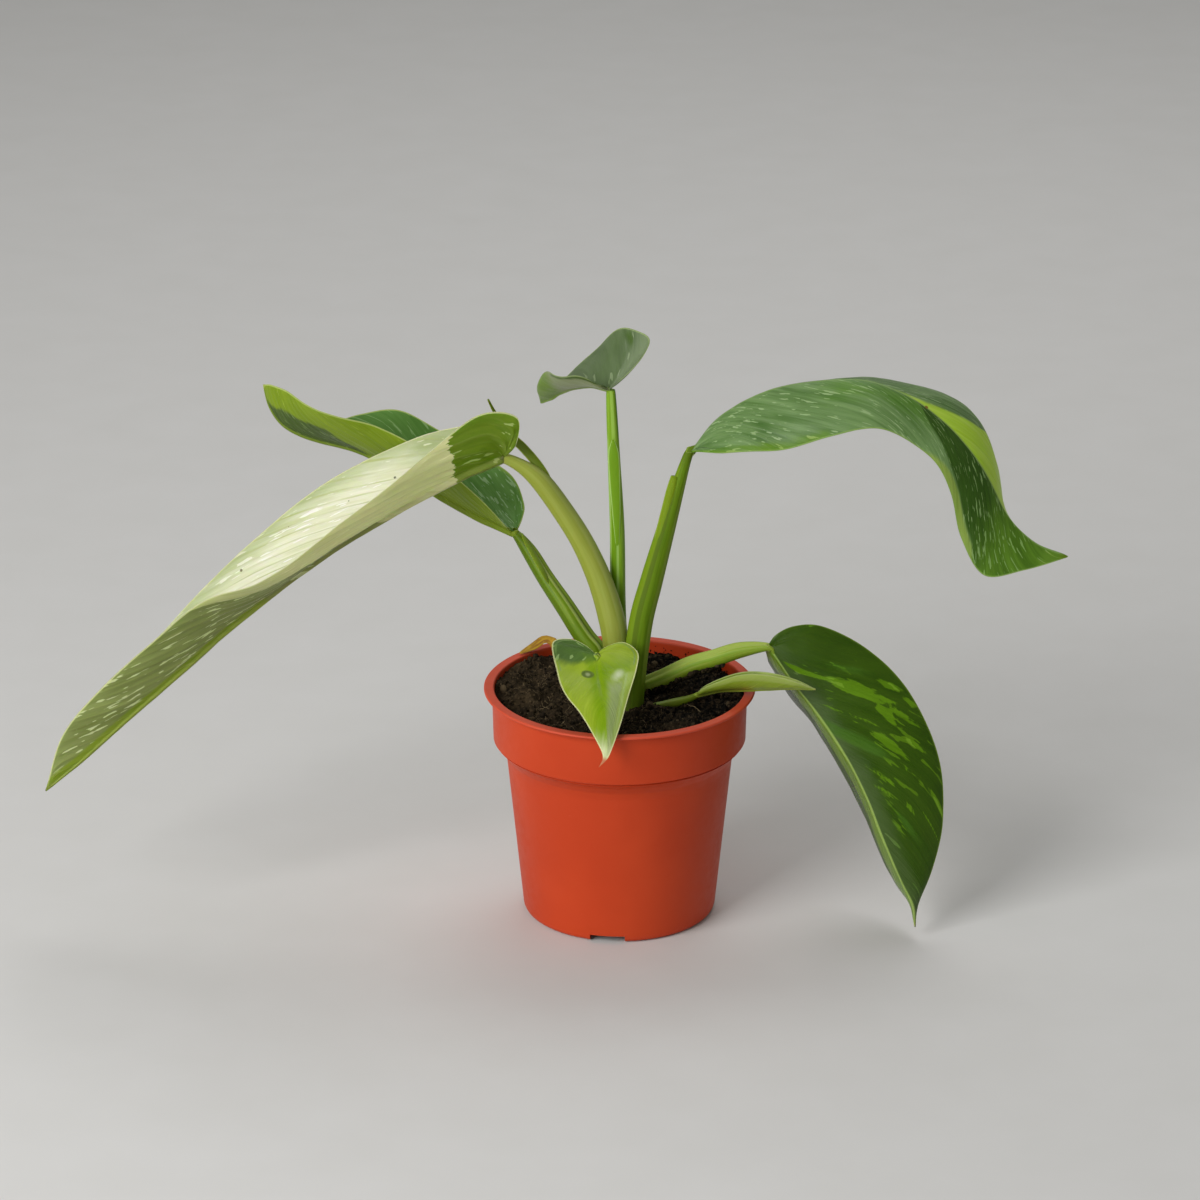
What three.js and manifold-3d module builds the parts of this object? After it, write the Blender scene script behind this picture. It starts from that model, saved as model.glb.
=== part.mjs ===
// A potted philodendron with seven leaves in a thin round nursery pot.
// Millimetres, +Z up. The origin is the middle of the pot's foot, on the surface it stands on.
// +X is to the right and -Y towards the front.

import * as THREE from "three";
import Module from "manifold-3d";

const wasm = await Module();
wasm.setup();

// Driving dimensions
const CLEARANCE = 0.3;
const POT_HEIGHT = 95;
const RIM_RADIUS = 54;
const LIP_WIDTH = 3.2;
const LIP_THICKNESS = 1.2;
const LIP_BEVEL = 0.4;
const COLLAR_DEPTH = 21.5;
const COLLAR_TAPER = 0.5;
const STEP_DEPTH = 9;
const STEP_CURVE = [[0.14, 0.35], [0.5, 0.7]];
const STEP_RISE = 0.3;
const BODY_TOP_RADIUS = 44.9;
const FOOT_RADIUS = 38.6;
const FOOT_ROUND = [[2.1, 0], [0.6, 0.7], [0, 2.2]];
const WALL = 0.9;
const FLOOR_THICKNESS = 1.5;
const FLOOR_ROUND = 0.9;
const NOTCH_WIDTH = 14;
const NOTCH_HEIGHT = 3;
const NOTCH_REACH = 8;
const NOTCH_COUNT = 3;
const NOTCH_ANGLE = -97.4;
const DRAIN_RADIUS = 4;
const DRAIN_CIRCLE = 21;
const DRAIN_LENGTH = 6;
const SOIL_LEVEL = 90;
const SOIL_SWELLS = [[-42, 14, 30, 3.2], [17, -1, 8, 3.4], [27, 3, 8, 2.4], [38, -8, 9, -2]];
const CROWN = [2, 0];
const CROWN_TOP = 79.7;
const CROWN_FOOT = 40;
const CROWN_SIDE = [[2.5, 44], [6, 58], [10, 70], [12, 77]];
const CROWN_TOP_RADIUS = 11;
const ROOT_COUNT = 5;
const ROOT_TURN = 20;
const ROOT_TOP = 66;
const ROOT_REACH = [5, 15, 24, 26];
const ROOT_DROP = [0, 8, 22, 40];
const ROOT_SWAY = [0, 0.2, 0.6, 1.2];
const ROOT_RADII = [2.4, 2.1, 1.6, 1];
const BLADE_THICKNESS = 0.8;
const GROOVE_DEPTH = 0.28;
const GROOVE_ANGLE = 0.4;

// Facets
const POT_SEGMENTS = 48;
const SOIL_SEGMENTS = 32;
const SOIL_RINGS = 6;
const STALK_SIDES = 12;
const FLAT_SIDES = 8;
const ROOT_SIDES = 6;
const CROWN_SEGMENTS = 16;
const DRAIN_SEGMENTS = 16;
const BLADE_COLUMNS = [0, 0.12, 0.42, 0.72, 1];

// Each blade is a sheet between its midrib and its two edges, all seen from the leaf's base with
// the upper side up. The edges start where the midrib does and run round the lobes first, so an
// edge has as many points more than the midrib as its lobe needs. Arch is how far each half
// bows up, as a share of its width, wave is the height of the waves along the edges, and rib is
// how far the midrib stands out underneath at the leaf's base.
const LEAVES = {
  left: {
    colour: 0xc9cf93,
    rows: 30,
    arch: [-0.05, -0.03],
    wave: 0.5,
    waves: 5,
    rib: 1.3,
    midrib: [
      [-46, 6, 189], [-62, 4, 182.5], [-82.5, 2, 171.5], [-106, 0, 157.5], [-130, -2, 141],
      [-153, -5, 122.5], [-173, -9, 105], [-193, -13, 88], [-212, -18, 71.5], [-227.5, -22, 59],
    ],
    leftEdge: [
      [-46, 6, 189], [-40.5, -2, 197.5], [-40, -9, 211], [-54.5, -10, 212], [-73, -9, 198],
      [-93, -17, 182.5], [-117.5, -21, 164], [-141, -24, 148], [-164, -21, 138],
      [-184.5, -19, 120.5], [-204.5, -19, 101], [-220, -20, 82], [-227.5, -22, 59],
    ],
    rightEdge: [
      [-46, 6, 189], [-43, 13, 193], [-45, 19, 200], [-59, 23, 196.5], [-79, 26, 191],
      [-103, 25, 179.5], [-127, 23, 164.5], [-149, 20, 146], [-171, 16, 124], [-187, 9, 109],
      [-205.5, 4, 91.5], [-220.5, -6, 78], [-227.5, -22, 59],
    ],
    stalk: {
      colour: 0x9aa648,
      facing: [-0.6, 0.3, 1],
      route: [
        [0, 0, 80], [-0.5, 0, 97], [-1.5, 0, 112], [-3.5, 1, 124], [-8, 3, 139],
        [-14.5, 5, 153.5], [-22, 6, 166], [-31, 6, 179], [-38.5, 6, 185.5], [-46, 6, 189],
      ],
      radii: [5.2, 5.3, 5.3, 5.3, 4.9, 4.5, 4.3, 4, 2.9, 2.1],
      sheath: {
        facing: [0, -1, 0.3],
        flatness: 0.4,
        route: [
          [-28.5, 6, 179.5], [-31, 6.5, 184], [-34.5, 7.5, 188.5], [-38.5, 8, 193], [-41, 8, 195.5],
          [-45.5, 8, 201.5], [-49, 7, 207.5], [-51.5, 5, 213.5],
        ],
        radii: [1.6, 1.8, 1.8, 1.8, 1.7, 1.2, 0.7, 0.4],
      },
    },
  },
  back_left: {
    colour: 0x4d7d33,
    rows: 24,
    arch: [-0.05, -0.04],
    wave: 0.5,
    waves: 4,
    rib: 1.1,
    midrib: [
      [-42, 34, 147], [-55, 37, 152], [-72, 41, 160], [-88, 45, 169.5], [-105.5, 49, 177],
      [-121, 52, 180], [-133, 54, 184.5], [-139.5, 56, 192], [-142.5, 58, 201.5],
    ],
    leftEdge: [
      [-42, 34, 147], [-43.5, 32, 149], [-45.5, 29, 152], [-50, 28, 157], [-62.5, 28, 170.5],
      [-79.5, 31, 184], [-96, 32, 192], [-112.5, 34, 196.5], [-125, 40, 199.5],
      [-133, 47, 202.5], [-139, 53, 203], [-142.5, 58, 201.5],
    ],
    rightEdge: [
      [-42, 34, 147], [-39.5, 38, 150.5], [-38.5, 46, 156], [-43, 54, 163.5], [-54, 60, 169.5],
      [-72.5, 64, 180], [-89, 66, 187.5], [-104.5, 65, 186.5], [-116.5, 63, 184.5],
      [-128.5, 60, 190.5], [-137, 58, 198], [-142.5, 58, 201.5],
    ],
    stalk: {
      colour: 0x5d8a1c,
      facing: [0.6, -0.3, 1],
      route: [
        [-7, 7, 80], [-7, 8, 95], [-9, 10, 105], [-14, 12.5, 111], [-22, 18, 122],
        [-29.5, 24, 131.5], [-36, 30, 140.5], [-41.5, 34, 146.5],
      ],
      radii: [4.2, 4.2, 4.2, 4.2, 3.9, 3.5, 3.1, 1.8],
      sheath: {
        facing: [0.6, -0.3, 1],
        flatness: 0.4,
        route: [[-30, 21, 134], [-34, 25.5, 140], [-37.5, 30, 145], [-39, 32, 147.5]],
        radii: [1.7, 1.6, 1.3, 0.5],
      },
    },
  },
  centre: {
    colour: 0x66835a,
    rows: 18,
    arch: [-0.06, -0.04],
    wave: 0.4,
    waves: 3,
    rib: 0.7,
    midrib: [
      [-4.5, 8, 216.5], [-11, 14, 216], [-17, 22, 212.5], [-23, 32, 207], [-27.5, 42, 201],
      [-31.5, 52, 196],
    ],
    leftEdge: [
      [-4.5, 8, 216.5], [-6, 6, 218], [-9, 2, 221], [-13, -2, 224], [-18.5, -2, 225.5],
      [-24.5, 6, 223], [-29.5, 18, 220], [-32.5, 36, 208.5], [-31.5, 52, 196],
    ],
    rightEdge: [
      [-4.5, 8, 216.5], [5, 5, 226], [11.5, 10, 235.5], [6.5, 16, 238], [-1, 22, 236.5],
      [-10, 32, 224.5], [-19.5, 42, 211.5], [-26.5, 49, 202], [-31.5, 52, 196],
    ],
    stalk: {
      colour: 0x6f9e2c,
      facing: [0, -1, 0.1],
      route: [
        [3.5, 8, 80], [2, 8, 97], [0, 8.5, 113], [-0.7, 9, 128], [-1, 9, 157.5],
        [-2.3, 8, 187], [-3.6, 8, 216],
      ],
      radii: [3.4, 3.3, 3.2, 3.1, 2.95, 2.5, 1.9],
      sheath: {
        facing: [0, -1, 0.1],
        flatness: 0.25,
        route: [[-0.9, 6.6, 150], [-1.3, 6, 165], [-2.1, 5.75, 182], [-2.5, 5.75, 191], [-2.7, 5.7, 196.5]],
        radii: [0.6, 1.6, 2.2, 2.1, 0.5],
      },
    },
  },
  right: {
    colour: 0x3f6e35,
    rows: 28,
    arch: [0.06, 0.08],
    wave: 0.6,
    waves: 5,
    rib: 1.1,
    midrib: [
      [27.5, 10, 190], [37.5, 10, 203], [51.5, 9, 213], [70, 8, 219], [93.5, 5, 221.5],
      [113.5, 1, 215], [128.5, -3, 204.5], [141, -7, 189.5], [151, -10, 171.5], [162, -12, 160],
      [175, -13, 154.5],
    ],
    leftEdge: [
      [27.5, 10, 190], [31.5, 14, 191], [36.5, 20, 193], [45.5, 26, 195.5], [59.5, 29, 200],
      [79, 29, 205.5], [102.5, 27, 212.5], [125, 22, 211], [140.5, 15, 201.5], [148.5, 8, 185],
      [151.5, 6, 161], [159.5, 0, 152.5], [175, -13, 154.5],
    ],
    rightEdge: [
      [27.5, 10, 190], [32.5, 2, 192.5], [39.5, -5, 195], [50.5, -9, 196.5], [64, -11, 198.5],
      [82, -12, 204], [102, -12, 207], [119.5, -13, 197], [128, -16, 182.5], [133, -19, 164.5],
      [142, -20, 149.5], [158, -18, 151], [175, -13, 154.5],
    ],
    stalk: {
      colour: 0x6c9412,
      facing: [-1, -0.4, 0.5],
      route: [
        [4.5, -8, 80], [5, -8, 91], [6, -6, 105], [8.5, -3, 124], [12.5, 1, 139],
        [18, 4.5, 159], [22.5, 7, 175], [25.5, 9, 185], [27.5, 10, 190],
      ],
      radii: [4.6, 4.6, 4.7, 4.75, 4.5, 3.7, 2.8, 2.1, 1.7],
      sheath: {
        facing: [-1, -0.4, 0.5],
        flatness: 1,
        route: [
          [15.5, 2.8, 154.5], [17.6, 4.4, 163], [19, 5.4, 169], [20.1, 6, 174], [21.1, 6.7, 178],
          [21.5, 7, 180.8],
        ],
        radii: [2.2, 2.4, 2.3, 2.2, 2, 1.5],
      },
    },
  },
  low_right: {
    colour: 0x37591a,
    rows: 28,
    arch: [0.08, 0.06],
    wave: 0.5,
    waves: 4,
    rib: 0.8,
    midrib: [
      [59, -4, 113], [69, -8, 98.5], [79.5, -12, 86], [89.5, -17, 71.5], [98, -22, 55.5],
      [104.5, -26, 39.5], [111.5, -30, 23.5], [116.5, -32, 13.5], [117.5, -33, 4.5],
    ],
    leftEdge: [
      [59, -4, 113], [62, -4, 118.5], [69.5, -3, 121.5], [80.5, -2, 121], [96, -1, 112.5],
      [110.5, -4, 100], [121, -8, 83.5], [127.5, -13, 65], [128.5, -19, 44], [124.5, -25, 26.5],
      [119, -30, 13.5], [117.5, -33, 4.5],
    ],
    rightEdge: [
      [59, -4, 113], [59, 3, 108.5], [59.5, 10, 103], [62, 18, 96], [70.5, 22, 81],
      [79.5, 20, 69.5], [89, 15, 55.5], [97.5, 8, 41], [103.5, -2, 27.5], [110.5, -13, 16.5],
      [116, -25, 10.5], [117.5, -33, 4.5],
    ],
    stalk: {
      colour: 0x7da63a,
      facing: [0, -0.5, 1],
      route: [
        [9, 3, 80], [6.5, 3.5, 85], [6, 3.2, 90], [10, 2.5, 93.8], [18, 2, 97.8], [28, 1.5, 103],
        [37, 0.5, 106.3], [47.7, -1, 110.5], [59, -4, 113],
      ],
      radii: [3.3, 3.3, 3.3, 3.5, 3.5, 3.6, 3.5, 3.2, 1.6],
    },
  },
  front: {
    colour: 0x9ab52a,
    rows: 18,
    arch: [0.02, -0.04],
    wave: 0.3,
    waves: 3,
    rib: 0.6,
    midrib: [
      [-9, -22, 116.5], [-8, -32, 111], [-6.5, -44, 107], [-5.5, -53, 101.5], [-5, -60, 94.5],
      [-7.5, -64, 87],
    ],
    leftEdge: [
      [-9, -22, 116.5], [-5.5, -17, 118], [1.5, -14, 119], [7, -17, 116], [6.5, -27, 112.5],
      [3.5, -40, 107.5], [0.5, -51, 100.5], [-3, -60, 93.5], [-7.5, -64, 87],
    ],
    rightEdge: [
      [-9, -22, 116.5], [-12.5, -17, 118], [-19.5, -13, 120], [-26.5, -16, 119.5],
      [-25, -28, 114], [-22, -40, 109], [-15, -50, 103], [-8.5, -59, 94.5], [-7.5, -64, 87],
    ],
    stalk: {
      colour: 0x86a52e,
      facing: [0, 0.5, 1],
      route: [[-5, -6, 80], [-5.5, -7.5, 90], [-7.5, -12, 101], [-9.5, -18.5, 111], [-9, -22, 116.5]],
      radii: [2.4, 2.3, 1.9, 1.6, 1.3],
    },
  },
  new: {
    colour: 0x93b03c,
    rows: 16,
    arch: [-0.12, -0.12],
    wave: 0,
    waves: 1,
    rib: 0.4,
    midrib: [[30.5, -6, 93.5], [40.5, -9, 97], [51.5, -12, 98.5], [63, -16, 100.5], [77, -21, 102]],
    leftEdge: [
      [30.5, -6, 93.5], [34.5, -2, 96], [47, -4, 102], [58, -7, 103.5], [69, -13, 103],
      [77, -21, 102],
    ],
    rightEdge: [
      [30.5, -6, 93.5], [33.5, -12, 99], [46.5, -19, 107], [57.5, -22, 108.5], [69, -23, 106],
      [77, -21, 102],
    ],
    stalk: {
      colour: 0x86a83a,
      facing: [0, 0, 1],
      route: [
        [9.5, -10.5, 80], [10, -10.4, 86], [13, -10.2, 89.8], [17, -9.8, 90.6], [22, -8.8, 91.2],
        [27, -7.2, 92], [30.5, -6, 93],
      ],
      radii: [1.6, 1.6, 1.4, 1.6, 1.9, 1.5, 1.1],
    },
  },
};

// The withered leaf comes out of the soil, folds over and rests on the rim at the back left.
const WITHERED = {
  colour: 0xc99a2e,
  facing: [-0.3, -0.6, 0.75],
  flatness: 0.3,
  groove: 0,
  route: [
    [-16, 20, 88.5], [-21, 26, 95], [-25.5, 33, 98.8], [-28, 37, 99.6], [-30.5, 38.5, 99.3],
    [-32.7, 38, 98], [-35.1, 36.5, 96.9], [-37.6, 34.3, 96.3], [-40, 32, 95.9],
  ],
  radii: [1.2, 1.6, 1.8, 1.8, 1.9, 1.9, 1.8, 1.3, 0.5],
};

function vector(point) {
  return new THREE.Vector3(...point);
}

// A smooth curve through the points, read at a place counted in points from its start.
function through(points) {
  const curve = new THREE.CatmullRomCurve3(points.map(vector), false, "catmullrom", 0.5);
  const last = points.length - 1;
  return (place) => curve.getPoint(THREE.MathUtils.clamp(place / last, 0, 1));
}

function solidOf(positions, triangles) {
  const mesh = new wasm.Mesh({
    numProp: 3,
    vertProperties: new Float32Array(positions.flat()),
    triVerts: new Uint32Array(triangles.flat()),
  });
  return new wasm.Manifold(mesh);
}

// Welds a closed three.js geometry into a solid.
function solidFrom(geometry) {
  const flat = geometry.index ? geometry.toNonIndexed() : geometry;
  const places = flat.getAttribute("position");
  const positions = [];
  const numbers = new Map();
  const corners = [];
  for (let i = 0; i < places.count; i += 1) {
    const point = new THREE.Vector3().fromBufferAttribute(places, i);
    const key = point.toArray().map((x) => Math.round(x * 1e4)).join(" ");
    if (!numbers.has(key)) {
      numbers.set(key, positions.length);
      positions.push(point.toArray());
    }
    corners.push(numbers.get(key));
  }
  const triangles = [];
  for (let i = 0; i < corners.length; i += 3) {
    const [a, b, c] = corners.slice(i, i + 3);
    if (a !== b && b !== c && a !== c) triangles.push([a, b, c]);
  }
  return solidOf(positions, triangles);
}

function largestBody(solid) {
  const bodies = solid.decompose();
  return bodies.reduce((best, body) => (body.volume() > best.volume() ? body : best));
}

function meshOf(name, solid, colour, roughness) {
  const { vertProperties, triVerts } = solid.getMesh();
  const geometry = new THREE.BufferGeometry();
  geometry.setAttribute("position", new THREE.BufferAttribute(vertProperties, 3));
  geometry.setIndex(new THREE.BufferAttribute(triVerts, 1));
  const material = new THREE.MeshStandardMaterial({ color: colour, roughness, metalness: 0 });
  const mesh = new THREE.Mesh(geometry, material);
  mesh.name = name;
  return mesh;
}

// Pot
function potProfile() {
  const collarTop = RIM_RADIUS - LIP_WIDTH;
  const collarFoot = collarTop - COLLAR_TAPER;
  const lipFoot = POT_HEIGHT - LIP_THICKNESS;
  const collarLow = POT_HEIGHT - COLLAR_DEPTH;
  const stepLow = collarLow - STEP_DEPTH;
  const stepWidth = collarFoot - BODY_TOP_RADIUS;
  const foot = FOOT_ROUND.map(([inset, height]) => [FOOT_RADIUS - inset, height]);
  const step = STEP_CURVE.map(([across, up]) => {
    return [BODY_TOP_RADIUS + across * stepWidth, stepLow + up * STEP_DEPTH];
  });
  const outside = [
    [0, 0], ...foot, [BODY_TOP_RADIUS, stepLow], ...step, [collarFoot, collarLow], [collarTop, lipFoot],
  ];
  const lip = [
    [RIM_RADIUS - LIP_BEVEL, lipFoot], [RIM_RADIUS, lipFoot + LIP_BEVEL],
    [RIM_RADIUS, POT_HEIGHT - LIP_BEVEL], [RIM_RADIUS - LIP_BEVEL, POT_HEIGHT],
    [collarTop - WALL + LIP_BEVEL, POT_HEIGHT], [collarTop - WALL, POT_HEIGHT - LIP_BEVEL],
  ];
  const innerStep = [[collarFoot, collarLow], ...step.toReversed()];
  const inside = [
    ...innerStep.map(([radius, height]) => [radius - WALL, height + STEP_RISE]),
    [BODY_TOP_RADIUS - WALL, stepLow], [FOOT_RADIUS - WALL, FLOOR_THICKNESS + FLOOR_ROUND],
    [FOOT_RADIUS - WALL - FLOOR_ROUND, FLOOR_THICKNESS], [0, FLOOR_THICKNESS],
  ];
  return { outside, lip, inside };
}

function lathe(profile, segments) {
  const points = profile.map(([r, z]) => new THREE.Vector2(r, z));
  return new THREE.LatheGeometry(points, segments).rotateX(Math.PI / 2);
}

function ringOf(count, startAngle) {
  return Array.from({ length: count }, (_, i) => THREE.MathUtils.degToRad(startAngle + (360 * i) / count));
}

function makePot() {
  const { outside, lip, inside } = potProfile();
  let pot = solidFrom(lathe([...outside, ...lip, ...inside], POT_SEGMENTS));
  for (const angle of ringOf(NOTCH_COUNT, NOTCH_ANGLE)) {
    const notch = new THREE.BoxGeometry(2 * NOTCH_REACH, NOTCH_WIDTH, 2 * NOTCH_HEIGHT);
    notch.translate(FOOT_RADIUS, 0, 0);
    pot = pot.subtract(solidFrom(notch.rotateZ(angle)));
  }
  for (const angle of ringOf(NOTCH_COUNT, NOTCH_ANGLE + 180 / NOTCH_COUNT)) {
    const drain = new THREE.CylinderGeometry(DRAIN_RADIUS, DRAIN_RADIUS, DRAIN_LENGTH, DRAIN_SEGMENTS);
    drain.rotateX(Math.PI / 2).translate(DRAIN_CIRCLE, 0, 0);
    pot = pot.subtract(solidFrom(drain.rotateZ(angle)));
  }
  return pot;
}

// Soil: its top is uneven, higher at the back left, with a ridge under the lower right stalk and
// a hollow beside it. A swell is its middle, its reach and its height.
function soilHeight(x, y) {
  const lumps = 0.6 * Math.sin(x / 6 + 1) * Math.cos(y / 5) + 0.4 * Math.sin(x / 3.3 - y / 4.1);
  const swells = SOIL_SWELLS.map(([cx, cy, reach, rise]) => {
    return rise * Math.exp(-((x - cx) ** 2 + (y - cy) ** 2) / reach ** 2);
  });
  return swells.reduce((sum, swell) => sum + swell, SOIL_LEVEL + lumps);
}

function makeSoilBlock() {
  const { inside } = potProfile();
  const wall = inside.map(([r, z]) => [Math.max(r - CLEARANCE, 0), z + CLEARANCE]).reverse();
  const edge = wall[wall.length - 1][0] + CLEARANCE;
  const top = Array.from({ length: SOIL_RINGS + 1 }, (_, i) => [edge * (1 - i / SOIL_RINGS), SOIL_LEVEL]);
  const geometry = lathe([...wall, ...top], SOIL_SEGMENTS);
  const places = geometry.getAttribute("position");
  for (let i = 0; i < places.count; i += 1) {
    const [x, y] = [places.getX(i), places.getY(i)];
    const onAxis = Math.hypot(x, y) < 1e-6;
    if (places.getZ(i) > SOIL_LEVEL - 1) places.setZ(i, soilHeight(onAxis ? 0 : x, onAxis ? 0 : y));
  }
  return solidFrom(geometry);
}

// Stalks: a tube with a groove along the side that faces up the leaf. Growth makes it fatter
// and longer all round, which is how its neighbours keep clear of it.
function makeStalk(stalk, growth = 0, sides = STALK_SIDES) {
  const { route, radii, facing, flatness = 1, groove = GROOVE_DEPTH } = stalk;
  const axis = through(route);
  const thickness = through(radii.map((radius) => [radius, 0, 0]));
  const last = route.length - 1;
  const steps = 2 * last;
  const up = vector(facing).normalize();
  const positions = [];
  const middles = [];
  const rings = [];
  for (let i = 0; i <= steps; i += 1) {
    const place = (i / steps) * last;
    const centre = axis(place);
    const along = axis(place + 0.05).sub(axis(place - 0.05)).normalize();
    const front = up.clone().addScaledVector(along, -up.dot(along)).normalize();
    const side = new THREE.Vector3().crossVectors(along, front);
    const radius = thickness(place).x;
    if (i === 0) centre.addScaledVector(along, -growth);
    if (i === steps) centre.addScaledVector(along, growth);
    middles.push(centre);
    const ring = [];
    for (let j = 0; j < sides; j += 1) {
      const angle = (2 * Math.PI * j) / sides;
      const turn = Math.min(angle, 2 * Math.PI - angle);
      const reach = radius * (1 - groove * Math.exp(-((turn / GROOVE_ANGLE) ** 2)));
      const point = centre.clone();
      point.addScaledVector(front, (reach * flatness + growth) * Math.cos(angle));
      point.addScaledVector(side, (reach + growth) * Math.sin(angle));
      ring.push(positions.length);
      positions.push(point.toArray());
    }
    rings.push(ring);
  }
  const triangles = [];
  for (let i = 0; i < steps; i += 1) {
    for (let j = 0; j < sides; j += 1) {
      const next = (j + 1) % sides;
      const [a, b, c, d] = [rings[i][j], rings[i][next], rings[i + 1][next], rings[i + 1][j]];
      triangles.push([a, b, c], [a, c, d]);
    }
  }
  for (const i of [0, steps]) {
    const ring = rings[i];
    const middle = positions.length;
    positions.push(middles[i].toArray());
    for (let j = 0; j < sides; j += 1) {
      const next = (j + 1) % sides;
      triangles.push(i === 0 ? [middle, ring[next], ring[j]] : [middle, ring[j], ring[next]]);
    }
  }
  return solidOf(positions, triangles);
}

// A stalk with the free end of the sheath that wraps it.
function wholeStalk(stalk, growth = 0) {
  const body = makeStalk(stalk, growth);
  if (!stalk.sheath) return body;
  return body.add(makeStalk({ groove: 0, ...stalk.sheath }, growth, FLAT_SIDES));
}

// Blades
function bladeSheet(leaf) {
  const { midrib, leftEdge, rightEdge, rows, arch, wave, waves } = leaf;
  const lobe = leftEdge.length - midrib.length;
  const spine = through(midrib);
  const edges = [through(leftEdge), through(rightEdge)];
  const last = leftEdge.length - 1;
  const reach = BLADE_COLUMNS.length - 1;
  const positions = [];
  const middles = [];
  const numbers = new Map();
  function vertex(point, middle) {
    const key = point.toArray().map((x) => Math.round(x * 1e3)).join(" ");
    if (!numbers.has(key)) {
      numbers.set(key, positions.length);
      positions.push(point);
      middles.push(middle);
    }
    return numbers.get(key);
  }
  const grid = [];
  for (let i = 0; i <= rows; i += 1) {
    const place = (i / rows) * last;
    const centre = spine(Math.max(place - lobe, 0));
    const row = [];
    for (let j = -reach; j <= reach; j += 1) {
      const half = j < 0 ? 0 : 1;
      const out = BLADE_COLUMNS[Math.abs(j)];
      const across = edges[half](place).sub(centre);
      const forward = edges[half](place + 0.1).sub(edges[half](place - 0.1));
      const up = half === 0 ? forward.clone().cross(across) : across.clone().cross(forward);
      up.normalize();
      const ripple = wave * Math.sin((2 * Math.PI * waves * i) / rows) * Math.sin((Math.PI * i) / rows);
      const lift = arch[half] * across.length() * 4 * out * (1 - out) + ripple * out * out;
      const point = centre.clone().addScaledVector(across, out).addScaledVector(up, lift);
      const along = Math.max(place - lobe, 0) / (last - lobe);
      row.push(vertex(point, j === 0 ? 1 - along : 0));
    }
    grid.push(row);
  }
  const triangles = [];
  for (let i = 0; i < rows; i += 1) {
    for (let j = 0; j < 2 * reach; j += 1) {
      const [a, b, c, d] = [grid[i][j], grid[i][j + 1], grid[i + 1][j + 1], grid[i + 1][j]];
      const pair = j < reach ? [[a, b, d], [b, c, d]] : [[a, b, c], [a, c, d]];
      for (const [p, q, r] of pair) {
        if (p !== q && q !== r && p !== r) triangles.push([p, q, r]);
      }
    }
  }
  return { positions, middles, triangles };
}

// Gives a sheet its thickness, with the midrib standing proud underneath.
function makeBlade(leaf) {
  const { positions, middles, triangles } = bladeSheet(leaf);
  const normals = positions.map(() => new THREE.Vector3());
  const edges = new Set();
  for (const [a, b, c] of triangles) {
    const face = positions[b].clone().sub(positions[a]).cross(positions[c].clone().sub(positions[a]));
    for (const corner of [a, b, c]) normals[corner].add(face);
    for (const edge of [[a, b], [b, c], [c, a]]) edges.add(edge.join(" "));
  }
  const count = positions.length;
  for (const normal of normals) normal.normalize();
  const half = BLADE_THICKNESS / 2;
  const upper = positions.map((p, i) => p.clone().addScaledVector(normals[i], half));
  const lower = positions.map((p, i) => p.clone().addScaledVector(normals[i], -half - leaf.rib * middles[i]));
  const faces = triangles.flatMap(([a, b, c]) => [[a, b, c], [a + count, c + count, b + count]]);
  for (const edge of edges) {
    const [a, b] = edge.split(" ").map(Number);
    if (!edges.has(`${b} ${a}`)) faces.push([b, a, a + count], [b, a + count, b + count]);
  }
  return solidOf([...upper, ...lower].map((p) => p.toArray()), faces);
}

// Rootstock: a short stub under the stalks, with thick roots that spread down and outwards.
function makeRootstock(growth = 0) {
  const side = CROWN_SIDE.map(([radius, height]) => [radius + growth, height]);
  const top = CROWN_TOP + growth;
  const profile = [[0, CROWN_FOOT - growth], ...side, [CROWN_TOP_RADIUS + growth, top], [0, top]];
  let rootstock = solidFrom(lathe(profile, CROWN_SEGMENTS).translate(CROWN[0], CROWN[1], 0));
  for (const [i, angle] of ringOf(ROOT_COUNT, ROOT_TURN).entries()) {
    const out = vector([Math.cos(angle), Math.sin(angle), 0]);
    const aside = vector([-Math.sin(angle), Math.cos(angle), 0]).multiplyScalar(i % 2 ? 6 : -5);
    const route = ROOT_REACH.map((reach, k) => {
      const point = out.clone().multiplyScalar(reach).addScaledVector(aside, ROOT_SWAY[k]);
      return [point.x + CROWN[0], point.y + CROWN[1], ROOT_TOP - ROOT_DROP[k] - 3 * (i % 3)];
    });
    const root = { route, radii: ROOT_RADII, facing: [0, 0, 1], groove: 0 };
    rootstock = rootstock.add(makeStalk(root, growth, ROOT_SIDES));
  }
  return rootstock;
}

// Assembly: each piece gives way to the ones placed before it.
function assemble() {
  const group = new THREE.Group();
  const placed = [];
  function place(name, solid, grown, colour, roughness) {
    let piece = solid;
    for (const other of placed) piece = piece.subtract(other);
    group.add(meshOf(name, largestBody(piece), colour, roughness));
    placed.push(grown);
  }
  const pot = makePot();
  group.add(meshOf("pot", pot, 0xc8492f, 0.6));
  place("rootstock", makeRootstock(), makeRootstock(CLEARANCE), 0xb59a6a, 0.8);
  const order = ["right", "left", "low_right", "centre", "back_left", "front", "new"];
  for (const key of order) {
    const { stalk } = LEAVES[key];
    place(`petiole_${key}`, wholeStalk(stalk), wholeStalk(stalk, CLEARANCE), stalk.colour, 0.45);
  }
  const withered = [0, CLEARANCE].map((growth) => makeStalk(WITHERED, growth, FLAT_SIDES));
  place("withered_leaf", ...withered, WITHERED.colour, 0.8);
  for (const key of order) {
    const leaf = LEAVES[key];
    let blade = makeBlade(leaf);
    for (const other of placed) blade = blade.subtract(other);
    group.add(meshOf(`blade_${key}`, largestBody(blade), leaf.colour, 0.45));
  }
  let soil = makeSoilBlock();
  for (const other of placed) soil = soil.subtract(other);
  group.add(meshOf("soil", largestBody(soil), 0x2f2620, 0.95));
  return group;
}

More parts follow.
